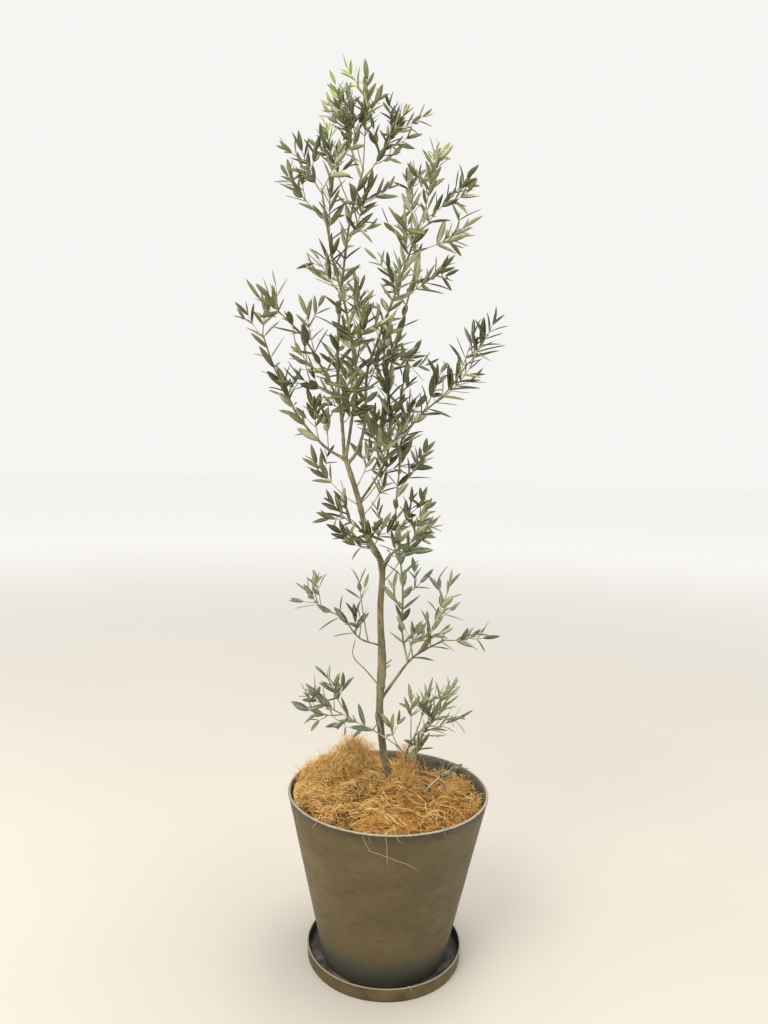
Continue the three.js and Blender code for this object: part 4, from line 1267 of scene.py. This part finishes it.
# How often a leaf is missing, how far it leans, its size, and where its room is checked
twig_habit = {
    "missing": 0.06, "leans": (0.62, 1.25), "sizes": (0.78, 1.16),
    "checked": (0.25, 0.5, 0.75, 1.0),
}
limb_habit = {
    "missing": 0.2, "leans": (0.8, 1.4), "sizes": (0.75, 1.05), "checked": (0.35, 0.6, 1.0),
}
long_arm_habit = {**limb_habit, "missing": 0.15}
leaf_turn = 0.6


def leaf_pair(name, root, along, turn, kind, size, rng, habit, lean_share=1):
    """Two leaves opposite each other, now and then one missing, where they have room."""
    across = square_to(along, turn)
    for sign in (-1, 1):
        if rng.random() < habit["missing"]:
            continue
        lean = leaf_lean * rng.uniform(*habit["leans"]) * lean_share
        aim = unit(along * math.cos(lean) + across * sign * math.sin(lean))
        face = unit(along - aim * np.dot(aim, along))
        face = turned_about(face, aim, rng.uniform(-leaf_turn, leaf_turn))
        long = size * rng.uniform(*habit["sizes"])
        if stays_home([root + aim * long * share for share in habit["checked"]], name):
            set_leaf(kind, root, aim, face, long, rng, name in slender)


def pairs_up(name, path, bare_share, rng, kind, size_share=1.0):
    """The leaf pairs up a twig, a quarter turn apart and smaller towards its tip."""
    length = np.linalg.norm(np.diff(path, axis=0), axis=1).sum()
    zone = zone_at(path[-1][2])
    count = max(1, round(length * (1 - bare_share) / zone["pitch"]))
    turn = rng.uniform(0, math.pi)
    for i in range(1, count + 1):
        share = bare_share + (0.99 - bare_share) * i / count
        root, along = at_share(path, share)
        turn = next_turn(name, turn, rng)
        size = zone["length"] * size_share * (1 + (tip_leaf_share - 1) * share)
        lean_share = (slender_lean if name in slender else 1) * (0.5 if i == count else 1)
        leaf_pair(name, root, along, turn, kind, size, rng, twig_habit, lean_share)


joint_pitch = 13
joint_swell = 0.22
stem_taper = 0.55
shoot_radii = (1.0, 0.5)
last_shoot_at = 0.92
shoot_bare = 0.18
young_tips = ("top_left_leaves", "top_leaves", "upper_left_leaves")


def twig_radii(path, foot, tip):
    """A twig's taper, with a small swelling at each pair of leaves."""
    run = np.linspace(0, 1, len(path)) * np.linalg.norm(np.diff(path, axis=0), axis=1).sum()
    radii = np.linspace(foot, tip, len(path))
    at_joint = np.maximum(0, np.cos(2 * math.pi * run / joint_pitch)) ** 4
    return radii * (1 + joint_swell * at_joint)


def side_shoot(stem, share, turn, length):
    """A shoot that leans out from its stem, rises at its tip and sags a little between."""
    foot, along = at_share(stem, share)
    tip = foot + along * length * math.cos(shoot_lean)
    tip += square_to(along, turn) * length * math.sin(shoot_lean)
    tip[2] += shoot_rise * length
    middle = (foot + tip) / 2
    middle[2] -= shoot_sag * length
    return bowed(foot, middle, tip)


def grow(name, seed):
    """A stem with its leaf pairs and its leafy side shoots."""
    _, _, _, bare, reach, shoots = (masses if name in masses else sprays)[name]
    rng = random.Random(seed)
    stem = stems[name]
    thick = stem_radii.get(name, stem_radius)
    pale_stem = int(name == "rim_shoot_leaves")
    stem_width = twig_radii(stem, thick, stem_taper * thick)
    twig_wood.add(*strand(stem * MM, stem_width * MM, 6), pale_stem)
    height = stem[len(stem) // 2][2]
    pairs_up(name, stem, bare, rng, spray_kind(rng, height))
    turn = rng.uniform(0, 2 * math.pi)
    count = shoots + more_shoots.get(name, 0)
    for i in range(count):
        turn += shoot_twist
        share = bare + (last_shoot_at - bare) * (i + 0.5) / count
        shoot = side_shoot(stem, share, turn, reach * rng.uniform(0.65, 1.0))
        if not stays_home(shoot[3:], name):
            continue
        twig_wood.add(*strand(shoot * MM, twig_radii(shoot, *shoot_radii) * MM, 5))
        kind = spray_kind(rng, height, name in young_tips and i == count - 1)
        pairs_up(name, shoot, shoot_bare, rng, kind, rng.uniform(0.8, 1.0))


for seed, name in enumerate(stems):
    grow(name, 11 + seed)

# Leaves that stand on the boughs themselves, between the twigs
leafy_limbs = {
    "middle_leader": (0.25, 0.95), "front_leader": (0.2, 0.95), "right_leader": (0.25, 0.95),
    "left_arm": (0.2, 0.98), "inner_left_arm": (0.2, 0.98), "back_leader": (0.3, 0.98),
    "back_bough": (0.3, 0.98), "right_arm": (0.15, 0.98), "right_shoot": (0.1, 0.95),
    "right_low_bough": (0.6, 0.98), "left_low_bough": (0.45, 0.98), "low_left_twig": (0.4, 0.98),
}
rng = random.Random(97)
for name, (low, high) in leafy_limbs.items():
    path = limb_paths[name][0]
    length = np.linalg.norm(np.diff(path, axis=0), axis=1).sum()
    turn = rng.uniform(0, math.pi)
    every, habit = (17, long_arm_habit) if name == "right_arm" else (21, limb_habit)
    for run in np.arange(low * length, high * length, every):
        root, along = at_share(path, run / length)
        turn = next_turn(name, turn, rng)
        kind = spray_kind(rng, root[2])
        leaf_pair(name, root, along, turn, kind, zone_at(root[2])["length"], rng, habit)


def leaf_finish(name, dark, light, roughness, specular):
    """A leathery leaf face: two close shades in soft clouds, and fine veins in relief."""
    finish = Finish(name, roughness=roughness, specular=specular)
    clouds = finish.grain(24 * MM, detail=3)
    finish.colour(finish.two_tone(clouds, 0.35, 0.65, dark, light))
    finish.relief(finish.grain(1.4 * MM, detail=2), 0.15 * MM, 0.5)
    return finish.material


# Each kind's upper face in two shades, then its underside in two
rib_finish = leaf_finish("leaf_rib", (0.165, 0.18, 0.08), (0.245, 0.265, 0.125), 0.5, 0.35)
leaf_shades = {
    "leaves_dark": (
        (0.038, 0.044, 0.014), (0.064, 0.071, 0.024),
        (0.085, 0.092, 0.044), (0.13, 0.14, 0.072),
    ),
    "leaves_olive": (
        (0.082, 0.091, 0.030), (0.128, 0.137, 0.050),
        (0.155, 0.166, 0.082), (0.225, 0.235, 0.132),
    ),
    "leaves_silvery": (
        (0.158, 0.173, 0.085), (0.238, 0.252, 0.132),
        (0.31, 0.325, 0.20), (0.42, 0.435, 0.285),
    ),
    "leaves_sea": (
        (0.083, 0.115, 0.072), (0.132, 0.172, 0.112),
        (0.19, 0.23, 0.165), (0.28, 0.32, 0.24),
    ),
    "leaves_young": (
        (0.22, 0.32, 0.055), (0.32, 0.44, 0.09),
        (0.29, 0.39, 0.10), (0.38, 0.48, 0.16),
    ),
}
crown_pieces = []
for kind, (dark, light, pale, palest) in leaf_shades.items():
    top_finish = leaf_finish(kind + "_top", dark, light, 0.42, 0.45)
    under_finish = leaf_finish(kind + "_under", pale, palest, 0.75, 0.2)
    crown_pieces.append(leaf_bundles[kind].tied(kind, [top_finish, under_finish, rib_finish]))

twig_finish = Finish("twig", roughness=0.6, specular=0.35)
patches = twig_finish.grain(16 * MM, detail=3)
twig_tones = ((0.190, 0.170, 0.085), (0.38, 0.37, 0.21))
twig_finish.colour(twig_finish.two_tone(patches, 0.36, 0.66, *twig_tones))
twig_finish.relief(twig_finish.grain(1.2 * MM, detail=2), 0.2 * MM, 0.6)
twig_piece = twig_wood.tied("twigs", [twig_finish.material, pale_bark_finish.material])
for piece in (*crown_pieces, twig_piece):
    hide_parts(*masses)
    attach(piece, "root")

# Floor, lights and camera
# The piece stands on a plain pale floor that grows lighter away from it, so that it meets the
# plain pale sky softly, and is lit from above, from the front and from the left.
floor_side = 60
bpy.ops.object.select_all(action="DESELECT")
bpy.ops.mesh.primitive_plane_add(size=floor_side, location=(0, 0, 0))
floor = bpy.context.object
floor.name = "studio_floor"
floor_finish = Finish("studio_floor", roughness=0.85, specular=0.2)
floor_tone = floor_finish.grain(0.6, detail=2)
near_tone = floor_finish.blend(floor_tone, (0.47, 0.455, 0.43), (0.50, 0.485, 0.46))
from_piece = floor_finish.nodes.new("ShaderNodeVectorMath")
from_piece.operation = "LENGTH"
floor_finish.links.new(floor_finish.place, from_piece.inputs[0])
near_floor, far_floor = 0.3, 7.5
far_share = floor_finish.between(from_piece.outputs["Value"], near_floor, far_floor)
floor_finish.colour(floor_finish.blend(far_share, near_tone, (0.985, 0.98, 0.965)))
give_finishes(floor, [floor_finish.material])

world = bpy.data.worlds.new("studio")
bpy.context.scene.world = world
world.use_nodes = True
sky = world.node_tree.nodes["Background"]
sky.inputs["Color"].default_value = (1.0, 0.99, 0.97, 1)
sky.inputs["Strength"].default_value = 0.92
bpy.context.scene.view_settings.view_transform = "Standard"

lamp_colour = (1.0, 0.90, 0.74)
middle_of_tree = Vector((0, 0, 0.8))
for name, place, size, power in (
    ("key", (-1.4, -2.0, 3.2), 1.6, 95),
    ("fill", (2.4, -1.6, 1.8), 2.4, 26),
    ("top", (0.4, 0.3, 3.4), 1.4, 60),
    ("side", (-2.3, -0.5, 0.9), 1.2, 18),
):
    bpy.ops.object.light_add(type="AREA", location=place)
    lamp = bpy.context.object
    lamp.name = name
    lamp.data.size = size
    lamp.data.energy = power
    lamp.data.color = lamp_colour
    lamp.rotation_euler = (middle_of_tree - Vector(place)).to_track_quat("-Z", "Y").to_euler()

camera_height = 0.9371
camera_back = 1.4098
camera_left = 0.0223
camera_tilt = 0.0693
camera_roll = 0.028
focal_pixels = 769
frame_height_pixels = 1024
bpy.ops.object.camera_add(location=(-camera_left, -camera_back, camera_height))
camera = bpy.context.object
camera.data.sensor_width = 36
camera.data.lens = focal_pixels / frame_height_pixels * camera.data.sensor_width
turn = Matrix.Rotation(math.pi / 2 - camera_tilt, 4, "X") @ Matrix.Rotation(camera_roll, 4, "Z")
camera.rotation_euler = turn.to_euler()
bpy.context.scene.camera = camera
